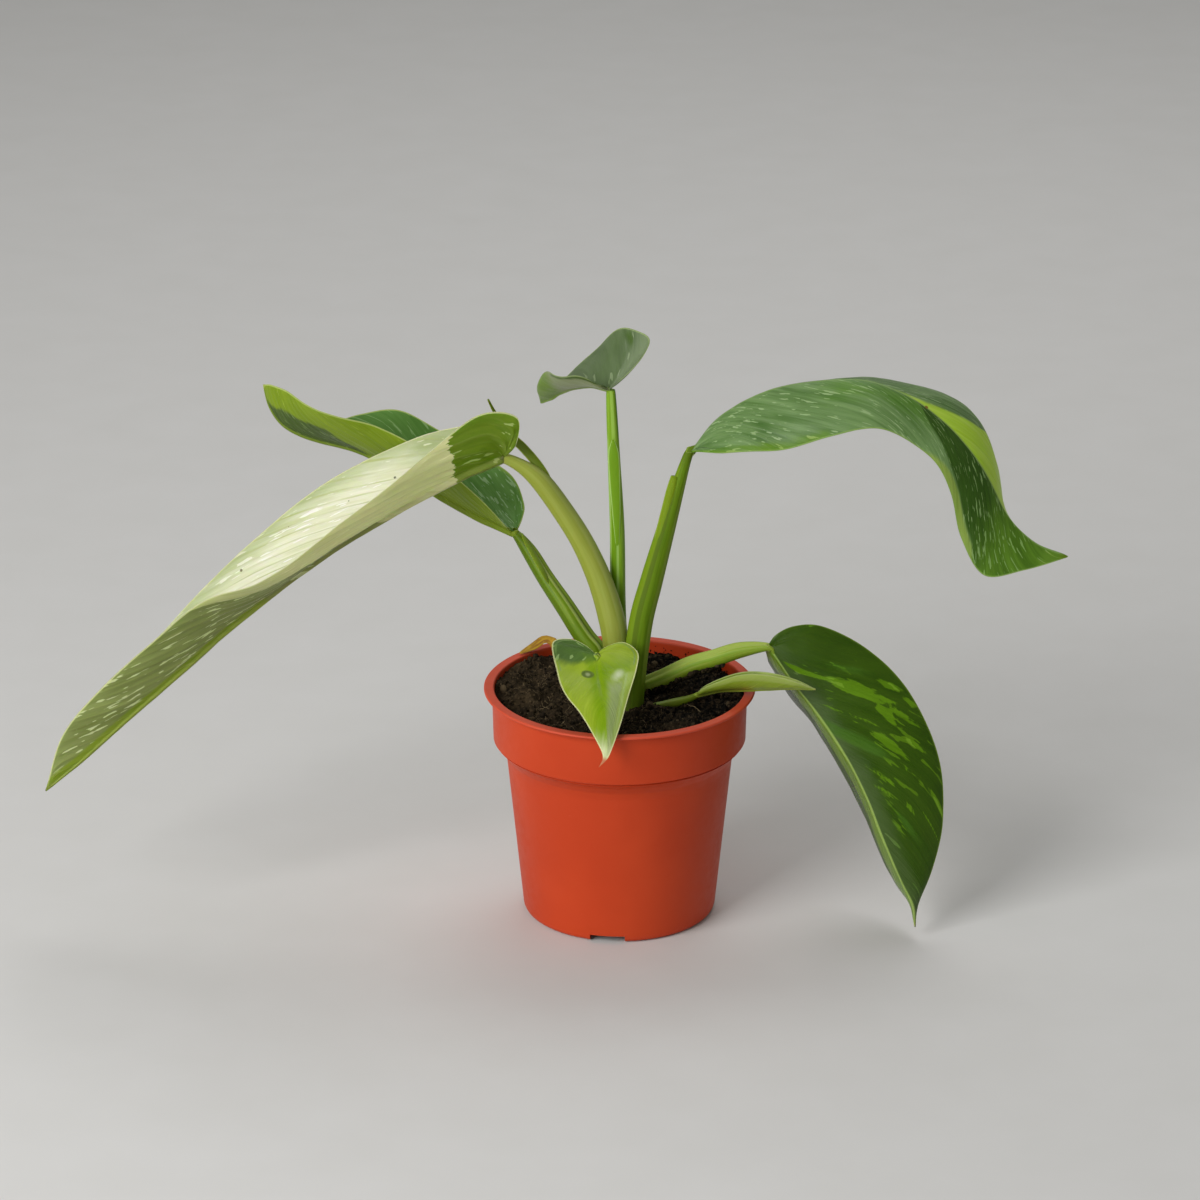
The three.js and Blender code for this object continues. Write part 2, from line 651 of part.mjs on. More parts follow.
export default assemble();
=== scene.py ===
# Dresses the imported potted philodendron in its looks.
# Lengths are millimetres in the frame of the CAD model, and metres only where Blender takes them.

import itertools
import math

import bmesh
import bpy
import numpy as np
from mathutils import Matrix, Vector


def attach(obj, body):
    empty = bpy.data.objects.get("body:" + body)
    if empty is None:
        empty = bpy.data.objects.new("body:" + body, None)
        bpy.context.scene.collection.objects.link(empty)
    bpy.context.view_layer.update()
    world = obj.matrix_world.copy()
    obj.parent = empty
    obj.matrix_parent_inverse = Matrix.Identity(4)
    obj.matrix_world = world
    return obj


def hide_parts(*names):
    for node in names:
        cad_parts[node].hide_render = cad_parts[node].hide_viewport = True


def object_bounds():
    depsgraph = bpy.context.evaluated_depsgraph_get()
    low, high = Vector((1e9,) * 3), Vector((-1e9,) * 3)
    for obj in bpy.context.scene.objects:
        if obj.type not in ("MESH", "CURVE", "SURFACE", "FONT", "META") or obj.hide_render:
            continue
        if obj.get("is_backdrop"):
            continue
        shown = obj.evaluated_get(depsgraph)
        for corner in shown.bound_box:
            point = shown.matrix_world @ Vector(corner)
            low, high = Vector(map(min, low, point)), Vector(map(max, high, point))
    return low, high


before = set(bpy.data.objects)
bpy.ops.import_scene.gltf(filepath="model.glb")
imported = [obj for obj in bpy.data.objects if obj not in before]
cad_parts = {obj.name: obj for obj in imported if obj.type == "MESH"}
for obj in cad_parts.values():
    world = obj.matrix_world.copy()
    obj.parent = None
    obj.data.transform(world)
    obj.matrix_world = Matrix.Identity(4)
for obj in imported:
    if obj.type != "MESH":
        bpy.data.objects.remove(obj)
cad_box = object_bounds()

MM = 0.001

# Camera, worked out from the photograph
PITCH = math.radians(21.3)
CAMERA_DISTANCE = 2000
CAMERA_TARGET = (-7.8, 0, 131.4)
LENS = 151.9
SENSOR = 36

# Studio. A lamp has its name, place, size and power.
FLOOR_HALF = 6000
FLOOR_DROP = 0.02
LAMPS = [
    ("key", (-1100, -1100, 950), 1000, 25.5),
    ("top", (200, 900, 1500), 900, 8),
    ("fill", (-500, -1500, 60), 900, 4),
]
LAMP_TARGET = (0, 0, 110)
SKY_STRENGTH = 0.28

# Pot
POT_HEIGHT = 95
RIM_RADIUS = 54
LIP_WIDTH = 3.2
LIP_THICKNESS = 1.2
LIP_BEVEL = 0.4
COLLAR_DEPTH = 21.5
COLLAR_TAPER = 0.5
STEP_DEPTH = 9
STEP_CURVE = ((0.14, 0.35), (0.5, 0.7))
STEP_RISE = 0.3
LEDGE = 0.7
GROOVE_HEIGHT = 0.9
GROOVE_CUT = 0.6
BODY_TOP_RADIUS = 44.9
FOOT_RADIUS = 38.6
FOOT_ROUND = ((2.1, 0), (0.6, 0.7), (0, 2.2))
WALL = 0.9
FLOOR_THICKNESS = 1.5
FLOOR_ROUND = 0.9
NOTCH_WIDTH = 14
NOTCH_HEIGHT = 3
NOTCH_REACH = 8
NOTCH_COUNT = 3
NOTCH_ANGLE = -97.4
DRAIN_RADIUS = 4
DRAIN_CIRCLE = 21
DRAIN_SIDES = 32
POT_SEGMENTS = 240
CORNER_ROUND = 0.7

# Soil. A swell has its centre, its reach and its rise, and a clod its rise and its size.
SOIL_LEVEL = 90
SOIL_SWELLS = ((-42, 14, 30, 3.2), (17, -1, 8, 3.4), (27, 3, 8, 2.4), (38, -8, 9, -2))
SOIL_CLODS = ((1.1, 7), (1.1, 3.2), (0.7, 1.6), (0.45, 0.8))
SOIL_SINK = 0.4
CLEARANCE = 0.3
SOIL_EDGE = RIM_RADIUS - LIP_WIDTH - WALL - CLEARANCE
SOIL_WALL = (
    (SOIL_EDGE - 0.4, 73.5), (BODY_TOP_RADIUS - WALL - CLEARANCE, 64.5),
    (FOOT_RADIUS - WALL - CLEARANCE, 2.7),
)
SOIL_RINGS = 110
SOIL_SEGMENTS = 300
CRUMBS = 330
GRAINS = 2600
STUCK_CRUMBS = 130
STALK_REACH = 3.5
WALL_CRUMBS = 30
WALL_CRUMB_HEIGHT = 90.3
FIBRES = 760
FIBRE_STEPS = 7
FIBRE_SIDES = 3

# Blades
ROW_STEP = 0.8
HALF_COLUMNS = 32
BLADE_HALF = 0.3
MARGIN_HALF = 0.15
VEIN_SPACING = 5
RIB_END_RADIUS = 0.3
RIB_GROOVE_DEPTH = 0.35
RIB_GROOVE_WIDTH = 0.9
FAR_OUT = -50.0

# Stalks
RING_STEP = 1.2
STALK_SIDES = 36
FLAT_SIDES = 24
GROOVE_DEPTH = 0.28
NECK_LENGTH = 1.6
GROOVE_ANGLE = 0.4
TOWARDS_FRONT = (0, -1, 0.4)
SHEATH_MARK = 1000

# Each blade is a sheet between its midrib and its two edges, all seen from the leaf's base with
# the upper side up. The edges start and end where the midrib does, and run round the lobes first.
# Arch is how far each half bows up, as a share of its width, and wave is the height of the edges'
# waves. Lean is how many places forward along the midrib a side vein has come when it meets the
# edge, and relief is how far the side veins stand out. Neck is the width of the stalk's end as a
# share of its last radius, and groove the depth of its groove.
LEAVES = {}
LEAVES["left"] = dict(
    arch=(-0.05, -0.03), wave=0.5, waves=5, lean=2.5, relief=0.28,
    midrib=[
        (-46, 6, 189), (-62, 4, 182.5), (-82.5, 2, 171.5), (-106, 0, 157.5), (-130, -2, 141),
        (-153, -5, 122.5), (-173, -9, 105), (-193, -13, 88), (-212, -18, 71.5), (-227.5, -22, 59),
    ],
    left_edge=[
        (-40.5, -2, 197.5), (-40, -9, 211), (-54.5, -10, 212), (-73, -9, 198), (-93, -17, 182.5),
        (-117.5, -21, 164), (-141, -24, 148), (-164, -21, 138), (-184.5, -19, 120.5),
        (-204.5, -19, 101), (-220, -20, 82),
    ],
    right_edge=[
        (-43, 13, 193), (-45, 19, 200), (-59, 23, 196.5), (-79, 26, 191), (-103, 25, 179.5),
        (-127, 23, 164.5), (-149, 20, 146), (-171, 16, 124), (-187, 9, 109), (-205.5, 4, 91.5),
        (-220.5, -6, 78),
    ],
    facing=(-0.6, 0.3, 1),
    route=[
        (0, 0, 80), (-0.5, 0, 97), (-1.5, 0, 112), (-3.5, 1, 124), (-8, 3, 139), (-14.5, 5, 153.5),
        (-22, 6, 166), (-31, 6, 179), (-38.5, 6, 185.5), (-46, 6, 189),
    ],
    radii=[5.2, 5.3, 5.3, 5.3, 4.9, 4.5, 4.3, 4, 2.9, 2.1],
    sheath=dict(
        facing=(0, -1, 0.3), flatness=0.4,
        route=[
            (-28.5, 6, 179.5), (-31, 6.5, 184), (-34.5, 7.5, 188.5), (-38.5, 8, 193),
            (-41, 8, 195.5), (-45.5, 8, 201.5), (-49, 7, 207.5), (-51.5, 5, 213.5),
        ],
        radii=[1.6, 1.8, 1.8, 1.8, 1.7, 1.2, 0.7, 0.4],
    ),
)
LEAVES["back_left"] = dict(
    arch=(-0.05, -0.04), wave=0.5, waves=4, lean=2.3, relief=0.12,
    midrib=[
        (-42, 34, 147), (-55, 37, 152), (-72, 41, 160), (-88, 45, 169.5), (-105.5, 49, 177),
        (-121, 52, 180), (-133, 54, 184.5), (-139.5, 56, 192), (-142.5, 58, 201.5),
    ],
    left_edge=[
        (-43.5, 32, 149), (-45.5, 29, 152), (-50, 28, 157), (-62.5, 28, 170.5), (-79.5, 31, 184),
        (-96, 32, 192), (-112.5, 34, 196.5), (-125, 40, 199.5), (-133, 47, 202.5), (-139, 53, 203),
    ],
    right_edge=[
        (-39.5, 38, 150.5), (-38.5, 46, 156), (-43, 54, 163.5), (-54, 60, 169.5), (-72.5, 64, 180),
        (-89, 66, 187.5), (-104.5, 65, 186.5), (-116.5, 63, 184.5), (-128.5, 60, 190.5),
        (-137, 58, 198),
    ],
    facing=(0.6, -0.3, 1),
    route=[
        (-7, 7, 80), (-7, 8, 95), (-9, 10, 105), (-14, 12.5, 111), (-22, 18, 122),
        (-29.5, 24, 131.5), (-36, 30, 140.5), (-41.5, 34, 146.5),
    ],
    radii=[4.2, 4.2, 4.2, 4.2, 3.9, 3.5, 3.1, 1.8],
    sheath=dict(
        flatness=0.4, route=[(-30, 21, 134), (-34, 25.5, 140), (-37.5, 30, 145), (-39, 32, 147.5)],
        radii=[1.7, 1.6, 1.3, 0.5],
    ),
)
LEAVES["centre"] = dict(
    arch=(-0.06, -0.04), wave=0.4, waves=3, lean=1.8, relief=0.05,
    midrib=[
        (-4.5, 8, 216.5), (-11, 14, 216), (-17, 22, 212.5), (-23, 32, 207), (-27.5, 42, 201),
        (-31.5, 52, 196),
    ],
    left_edge=[
        (-6, 6, 218), (-9, 2, 221), (-13, -2, 224), (-18.5, -2, 225.5), (-24.5, 6, 223),
        (-29.5, 18, 220), (-32.5, 36, 208.5),
    ],
    right_edge=[
        (5, 5, 226), (11.5, 10, 235.5), (6.5, 16, 238), (-1, 22, 236.5), (-10, 32, 224.5),
        (-19.5, 42, 211.5), (-26.5, 49, 202),
    ],
    facing=(0, -1, 0.1),
    route=[
        (3.5, 8, 80), (2, 8, 97), (0, 8.5, 113), (-0.7, 9, 128), (-1, 9, 157.5), (-2.3, 8, 187),
        (-3.6, 8, 216),
    ],
    radii=[3.4, 3.3, 3.2, 3.1, 2.95, 2.5, 1.9], neck=0.4, groove=0.06,
    sheath=dict(
        flatness=0.25,
        route=[
            (-0.9, 6.6, 150), (-1.3, 6, 165), (-2.1, 5.75, 182), (-2.5, 5.75, 191),
            (-2.7, 5.7, 196.5),
        ],
        radii=[0.6, 1.6, 2.2, 2.1, 0.5],
    ),
)
LEAVES["right"] = dict(
    arch=(0.06, 0.08), wave=0.6, waves=5, lean=2, relief=0.08,
    midrib=[
        (27.5, 10, 190), (37.5, 10, 203), (51.5, 9, 213), (70, 8, 219), (93.5, 5, 221.5),
        (113.5, 1, 215), (128.5, -3, 204.5), (141, -7, 189.5), (151, -10, 171.5), (162, -12, 160),
        (175, -13, 154.5),
    ],
    left_edge=[
        (31.5, 14, 191), (36.5, 20, 193), (45.5, 26, 195.5), (59.5, 29, 200), (79, 29, 205.5),
        (102.5, 27, 212.5), (125, 22, 211), (140.5, 15, 201.5), (148.5, 8, 185), (151.5, 6, 161),
        (159.5, 0, 152.5),
    ],
    right_edge=[
        (32.5, 2, 192.5), (39.5, -5, 195), (50.5, -9, 196.5), (64, -11, 198.5), (82, -12, 204),
        (102, -12, 207), (119.5, -13, 197), (128, -16, 182.5), (133, -19, 164.5),
        (142, -20, 149.5), (158, -18, 151),
    ],
    facing=(-1, -0.4, 0.5),
    route=[
        (4.5, -8, 80), (5, -8, 91), (6, -6, 105), (8.5, -3, 124), (12.5, 1, 139), (18, 4.5, 159),
        (22.5, 7, 175), (25.5, 9, 185), (27.5, 10, 190),
    ],
    radii=[4.6, 4.6, 4.7, 4.75, 4.5, 3.7, 2.8, 2.1, 1.7], groove=0,
    sheath=dict(
        flatness=1,
        route=[
            (15.5, 2.8, 154.5), (17.6, 4.4, 163), (19, 5.4, 169), (20.1, 6, 174), (21.1, 6.7, 178),
            (21.5, 7, 180.8),
        ],
        radii=[2.2, 2.4, 2.3, 2.2, 2, 1.5],
    ),
)
LEAVES["low_right"] = dict(
    arch=(0.08, 0.06), wave=0.5, waves=4, lean=2.6, relief=0.06,
    midrib=[
        (59, -4, 113), (69, -8, 98.5), (79.5, -12, 86), (89.5, -17, 71.5), (98, -22, 55.5),
        (104.5, -26, 39.5), (111.5, -30, 23.5), (116.5, -32, 13.5), (117.5, -33, 4.5),
    ],
    left_edge=[
        (62, -4, 118.5), (69.5, -3, 121.5), (80.5, -2, 121), (96, -1, 112.5), (110.5, -4, 100),
        (121, -8, 83.5), (127.5, -13, 65), (128.5, -19, 44), (124.5, -25, 26.5), (119, -30, 13.5),
    ],
    right_edge=[
        (59, 3, 108.5), (59.5, 10, 103), (62, 18, 96), (70.5, 22, 81), (79.5, 20, 69.5),
        (89, 15, 55.5), (97.5, 8, 41), (103.5, -2, 27.5), (110.5, -13, 16.5), (116, -25, 10.5),
    ],
    facing=(0, -0.5, 1),
    route=[
        (9, 3, 80), (6.5, 3.5, 85), (6, 3.2, 90), (10, 2.5, 93.8), (18, 2, 97.8), (28, 1.5, 103),
        (37, 0.5, 106.3), (47.7, -1, 110.5), (59, -4, 113),
    ],
    radii=[3.3, 3.3, 3.3, 3.5, 3.5, 3.6, 3.5, 3.2, 1.6],
)
LEAVES["front"] = dict(
    arch=(0.02, -0.04), wave=0.3, waves=3, lean=1.8, relief=0.05,
    midrib=[
        (-9, -22, 116.5), (-8, -32, 111), (-6.5, -44, 107), (-5.5, -53, 101.5), (-5, -60, 94.5),
        (-5.7, -62.5, 90.2), (-8.3, -64.2, 87),
    ],
    left_edge=[
        (-5.5, -17, 118), (1.5, -14, 119), (7, -17, 116), (6.5, -27, 112.5), (3.5, -40, 107.5),
        (0.5, -51, 100.5), (-3, -60, 93.5), (-5, -62.7, 90),
    ],
    right_edge=[
        (-12.5, -17, 118), (-19.5, -13, 120), (-26.5, -16, 119.5), (-25, -28, 114),
        (-22, -40, 109), (-15, -50, 103), (-8.5, -59, 94.5), (-6.7, -62.3, 90.4),
    ],
    facing=(0, 0.5, 1),
    route=[(-5, -6, 80), (-5.5, -7.5, 90), (-7.5, -12, 101), (-9.5, -18.5, 111), (-9, -22, 116.5)],
    radii=[2.4, 2.3, 1.9, 1.6, 1.3],
)
LEAVES["new"] = dict(
    arch=(-0.12, -0.12), wave=0, waves=1, lean=1, relief=0.05,
    midrib=[(30.5, -6, 93.5), (40.5, -9, 97), (51.5, -12, 98.5), (63, -16, 100.5), (77, -21, 102)],
    left_edge=[(34.5, -2, 96), (47, -4, 102), (58, -7, 103.5), (69, -13, 103)],
    right_edge=[(33.5, -12, 99), (46.5, -19, 107), (57.5, -22, 108.5), (69, -23, 106)],
    facing=(0, 0, 1),
    route=[
        (9.5, -10.5, 80), (10, -10.4, 86), (13, -10.2, 89.8), (17, -9.8, 90.6), (22, -8.8, 91.2),
        (27, -7.2, 92), (30.5, -6, 93),
    ],
    radii=[1.6, 1.6, 1.4, 1.6, 1.9, 1.5, 1.1],
)

WITHERED = dict(
    facing=(-0.3, -0.6, 0.75),
    route=[
        (-16, 20, 88.5), (-21, 26, 95), (-25.5, 33, 98.8), (-28, 37, 99.6), (-30.5, 38.5, 99.3),
        (-32.7, 38, 98), (-35.1, 36.5, 96.9), (-37.6, 34.3, 96.3), (-40, 32, 95.9),
    ],
    radii=[1.2, 1.6, 1.8, 1.8, 1.9, 1.9, 1.8, 1.3, 0.5],
)


# Curves and noise
def through(points):
    """A smooth curve through the points, read at places counted in points from its start."""
    knots = np.array(points, float)
    if knots.ndim == 1:
        knots = knots[:, None]
    last = len(knots) - 1
    knots = np.vstack([2 * knots[0] - knots[1], knots, 2 * knots[-1] - knots[-2]])

    def at(place):
        place = np.clip(np.atleast_1d(np.asarray(place, float)), 0, last)
        start = np.minimum(place.astype(int), last - 1)
        t = (place - start)[:, None]
        a, b, c, d = (knots[start + k] for k in range(4))
        bend = (2 * a - 5 * b + 4 * c - d) * t**2 + (3 * (b - c) + d - a) * t**3
        return 0.5 * (2 * b + (c - a) * t + bend)

    return at


def smooth(value, low, high):
    """0 below low and 1 above high, with a soft step between them."""
    t = np.clip((value - low) / (high - low), 0, 1)
    return t * t * (3 - 2 * t)


def unit(vectors):
    return vectors / np.maximum(np.linalg.norm(vectors, axis=-1, keepdims=True), 1e-12)


def ripples(points, size, seed):
    """Smooth noise from -1 to 1 with bumps about that many millimetres wide."""
    cells = points / size
    corner = np.floor(cells)
    share = cells - corner
    share = share * share * (3 - 2 * share)
    total = np.zeros(len(points))
    for step in itertools.product((0, 1), repeat=3):
        key = (corner + step) @ (127.1, 311.7, 74.7) + 19.19 * seed
        value = np.modf(np.sin(key) * 43758.5453)[0]
        total += value * np.prod(np.where(step, share, 1 - share), axis=1)
    return total


def lengths_along(points):
    steps = np.linalg.norm(np.diff(points, axis=0), axis=1)
    return np.concatenate([[0], np.cumsum(steps)])


# Meshes
def make_piece(name, points, faces, material, attributes=None):
    """A smooth shaded mesh from points in millimetres, with named values at its points."""
    mesh = bpy.data.meshes.new(name)
    mesh.from_pydata((np.asarray(points) * MM).tolist(), [], faces)
    mesh.polygons.foreach_set("use_smooth", [True] * len(mesh.polygons))
    for key, values in (attributes or {}).items():
        attribute = mesh.attributes.new(key, "FLOAT_VECTOR", "POINT")
        attribute.data.foreach_set("vector", np.asarray(values, np.float32).ravel())
    mesh.materials.append(material)
    piece = bpy.data.objects.new(name, mesh)
    bpy.context.scene.collection.objects.link(piece)
    return piece


def settle(piece, slot, *nodes):
    """The piece rides on the only body and stands for the nodes."""
    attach(piece, "root")
    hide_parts(*nodes)


def around(count):
    """Evenly spaced angles of a full turn."""
    return 2 * np.pi * np.arange(count) / count


def ring(radius, height, count):
    angle = around(count)
    x, y = radius * np.cos(angle), radius * np.sin(angle)
    return np.column_stack([x, y, np.full(count, height)])


def turned(points, angle):
    """The points, turned about the upright axis."""
    cos, sin = math.cos(angle), math.sin(angle)
    return points @ np.array([[cos, sin, 0], [-sin, cos, 0], [0, 0, 1]])


def tube_wall(rings, sides):
    """The faces between rings of points that follow each other, seen from outside."""
    faces = []
    for start in range(0, (rings - 1) * sides, sides):
        for j in range(sides):
            a, b = start + j, start + (j + 1) % sides
            faces.append((a, b, b + sides, a + sides))
    return faces


def tube_faces(rings, sides):
    """The faces of a tube with flat ends."""
    last = (rings - 1) * sides
    ends = [tuple(reversed(range(sides))), tuple(range(last, last + sides))]
    return tube_wall(rings, sides) + ends


def joined(*parts):
    """Several lots of points, faces and facts as one."""
    points, faces, facts, start = [], [], [], 0
    for part_points, part_faces, part_facts in parts:
        points.append(part_points)
        faces += [tuple(start + corner for corner in face) for face in part_faces]
        facts.append(part_facts)
        start += len(part_points)
    return np.vstack(points), faces, np.vstack(facts)


# Materials
def srgb(code):
    """A colour as seen on a screen, red, green and blue in hexadecimal, as Blender's light."""
    shares = [int(code[i : i + 2], 16) / 255 for i in (0, 2, 4)]
    return (*[s / 12.92 if s <= 0.04045 else ((s + 0.055) / 1.055) ** 2.4 for s in shares], 1.0)


class Paint:
    """A material with one Principled shader, the colour that it is given coat by coat, and short
    calls that add nodes to it. It takes colours as their codes for a screen."""

    def __init__(self, name):
        self.material = bpy.data.materials.new(name)
        self.material.use_nodes = True
        self.tree = self.material.node_tree
        self.shader = self.tree.nodes["Principled BSDF"]
        self.colour = None

    def feed(self, socket, value):
        if isinstance(value, bpy.types.NodeSocket):
            self.tree.links.new(value, socket)
        else:
            socket.default_value = value

    def set(self, **values):
        for name, value in values.items():
            self.feed(self.shader.inputs[name.replace("_", " ")], value)

    def add(self, kind, inputs, output=0, **settings):
        """Adds a node, feeds its inputs by number or name, and gives one of its outputs."""
        node = self.tree.nodes.new("ShaderNode" + kind)
        for name, value in settings.items():
            setattr(node, name, value)
        for key, value in inputs.items():
            self.feed(node.inputs[key], value)
        return node.outputs[output]

    def math(self, operation, *values):
        return self.add("Math", dict(enumerate(values)), operation=operation)

    def times(self, product, *others):
        for value in others:
            product = self.math("MULTIPLY", product, value)
        return product

    def sum(self, value, share, rest):
        """A share of the value and the rest."""
        return self.math("MULTIPLY_ADD", value, share, rest)

    def step(self, value, low, high, start=0.0, end=1.0):
        """Goes from start to end as the value goes from low to high, with a soft step."""
        inputs = dict(enumerate((value, low, high, start, end)))
        return self.add("MapRange", inputs, interpolation_type="SMOOTHSTEP")

    def mix(self, first, second, share):
        first, second = (srgb(c) if isinstance(c, str) else c for c in (first, second))
        return self.add("Mix", {"Factor": share, 6: first, 7: second}, 2, data_type="RGBA")

    def base(self, first, second, share):
        self.colour = self.mix(first, second, share)

    def coat(self, colour, *shares):
        """Covers the colour so far by the product of the shares."""
        self.colour = self.mix(self.colour, colour, self.times(*shares))

    def three(self, x, y, z=0.0):
        return self.add("CombineXYZ", {0: x, 1: y, 2: z})

    def apart(self, vector):
        return self.add("SeparateXYZ", {0: vector}).node.outputs[:3]

    def values(self, name):
        """The three numbers that the mesh keeps under that name."""
        return self.apart(self.add("Attribute", {}, "Vector", attribute_name=name))

    def place(self):
        """The place on the object, in metres."""
        return self.add("TexCoord", {}, "Object")

    def noise(self, vector, scale=1.0, detail=2.0, roughness=0.5):
        inputs = {"Vector": vector, "Scale": scale, "Detail": detail, "Roughness": roughness}
        return self.add("TexNoise", inputs)

    def cells(self, vector, scale):
        return self.add("TexVoronoi", {"Vector": vector, "Scale": scale}, "Distance")

    def distance(self, vector, spot):
        return self.add("VectorMath", {0: vector, 1: spot}, "Value", operation="DISTANCE")

    def bump(self, height, depth, strength=1.0):
        inputs = {"Strength": strength, "Distance": depth * MM, "Height": height}
        self.set(Normal=self.add("Bump", inputs))

    def finish(self, roughness, specular=0.17, **values):
        """Sets the shader and gives the material."""
        self.set(Base_Color=self.colour, Roughness=roughness)
        self.set(Specular_IOR_Level=specular, **values)
        return self.material


# Leaf looks. A palette holds a deep and a light tone, the colour of the dashes that lie along the
# side veins, and the share of the surface that they cover. Dash is their width and length in
# millimetres. Layers lie over the palettes of the two sides, in the order of fields_of, each with
# how ragged and how soft its border is in millimetres, and the side that it is kept to: 1 is the
# upper side and 0 the lower. A speck has its half, its place along the midrib, its share of the
# way out, its radius and its colour.
LEAF_LOOKS = {}
LEAF_LOOKS["left"] = dict(
    upper=("c8cba2", "e6e7d4", "ecede0", 0.1), lower=("a6a86e", "b8ba84", "c4c692", 0.08),
    dash=(1, 2.6), veins=0.75, glow=0.7,
    layers=[
        ("9ea876", "b4bb92", "ced2b0", 0.1, 3, 6, 1),
        # Painted light: the near half's lower side is lighter from the base on, where it turns
        # away from the lamps.
        ("caca96", "dad9a8", "e6e5b8", 0.05, 2, 9, 0),
        ("8a944c", "9ea660", "aeb470", 0.05, 1, 1.5, 0),
        ("707840", "889156", "bec694", 0.13, 4, 0.6, None),
        ("708616", "86962c", "96a446", 0, 0.5, 0.8, None),
        ("5c7810", "728822", "a0b068", 0.07, 6, 0.25, None),
    ],
    rib_upper="aab170", rib_lower="969c54", rib=0.3, margin="d0d2a4", tip="788432", roughness=0.36,
    specks=[
        (1, 4.81, 0.53, 0.55, "464a28"), (1, 7.28, 0.75, 0.7, "605028"),
        (1, 6.41, 0.8, 0.4, "5a6032"), (1, 6.08, 0.62, 0.35, "5a6032"),
        (1, 6.68, 0.7, 0.35, "5a6032"), (1, 5.56, 0.58, 0.35, "5a6032"),
    ],
)
LEAF_LOOKS["back_left"] = dict(
    upper=("48722a", "60883e", "80a062", 0.13), lower=("6a820e", "7c921e", "8ca032", 0.05),
    dash=(0.6, 2.2),
    layers=[
        ("3a4e1a", "4e622a", "788c54", 0.08, 2, 1, 0),
        # Painted light: the upper side of the lobe is lighter, against the shadow that the cream
        # leaf casts on it.
        ("588638", "76a054", "9ebc88", 0.14, 2, 3, 1),
        ("769c3c", "88aa50", "8caa5a", 0, 0.5, 0.6, 1),
    ],
    rib_upper="6e8c3c", rib_lower="829628", rib=0.5, margin="b0be6e", tip="96a050", roughness=0.38,
)
LEAF_LOOKS["centre"] = dict(
    upper=("50623c", "62744e", "7c8c66", 0.08), lower=("828e5c", "929c70", "9ca67c", 0.04),
    dash=(1, 6),
    layers=[
        # Painted shade: a dark band along the inside of the near half's rolled margin; the oval on
        # the far half is a dark patch.
        ("3a5414", "486220", "607836", 0.03, 1.5, 1.4, None),
        # Painted sheen: pale grey over the far half's lobe.
        ("687854", "768464", "889476", 0.1, 3, 5, None),
        ("688624", "789436", "869e4a", 0, 2, 5, 0),
    ],
    rib_upper="78965a", rib_lower="7c963c", rib=0.5, margin="8e9e68", tip="6e823c", roughness=0.36,
)
LEAF_LOOKS["right"] = dict(
    # Painted sheen: the upper side's pale grey-green tones stand for light shining on it; the
    # second layer gives the drooping part its own dark green.
    upper=("44662a", "7a9660", "8ca472", 0.12), lower=("688c1e", "7c9e2c", "92ac42", 0.06),
    dash=(0.6, 2.2),
    layers=[
        ("466e20", "62863a", "86a264", 0.12, 7, 5, 1),
        ("2c490e", "3b5a1a", "78935a", 0.14, 1.8, 1.2, 1),
        ("a0c41e", "b8d454", "bed664", 0, 0.8, 1.4, None),
        ("7a923c", "8a9e4a", "92a454", 0, 0.6, 1.2, None),
        ("406214", "5c8222", "7a9a52", 0.15, 7, 8, 1),
        ("52781c", "688a2c", "86a04c", 0.12, 4, 2, 1),
        # Painted light: the half beyond the fold is lighter, where it turns away from the key
        # lamp.
        ("769e3e", "94b660", "a2bc7c", 0.12, 4, 5, 0),
    ],
    rib_upper="809e54", rib_lower="869e32", rib=0.7, margin="849e54", tip="607a14", roughness=0.35,
    glow=0.3, specks=[(0, 7.35, 0.01, 0.8, "7e5422")],
)
LEAF_LOOKS["low_right"] = dict(
    upper=("2c4804", "3a540a", "547c1a", 0.06), lower=("546c18", "647c28", "78923c", 0.06),
    dash=(1.2, 3.6),
    layers=[
        ("2c4802", "3a5608", "54780e", 0.13, 3, 4, 1),
        # Painted sheen: grey-green beside the midrib.
        ("3e5422", "485e2c", "5c743c", 0.04, 3, 3, 1),
        ("3a6010", "466a1a", "547828", 0, 2.5, 1.2, 1),
        ("507606", "608810", "709624", 0.1, 2.8, 0.3, 1),
        ("5c7a1e", "6c8a2e", "829c46", 0, 0.5, 0.8, 1),
    ],
    # The pale underside of the midrib is partly its own colour and partly painted light, lighter
    # where the ridge faces down, away from the lamps.
    rib_upper="96b05a", rib_lower="cedc82", rib=0.8, margin="607624", tip="969e5a", roughness=0.3,
)
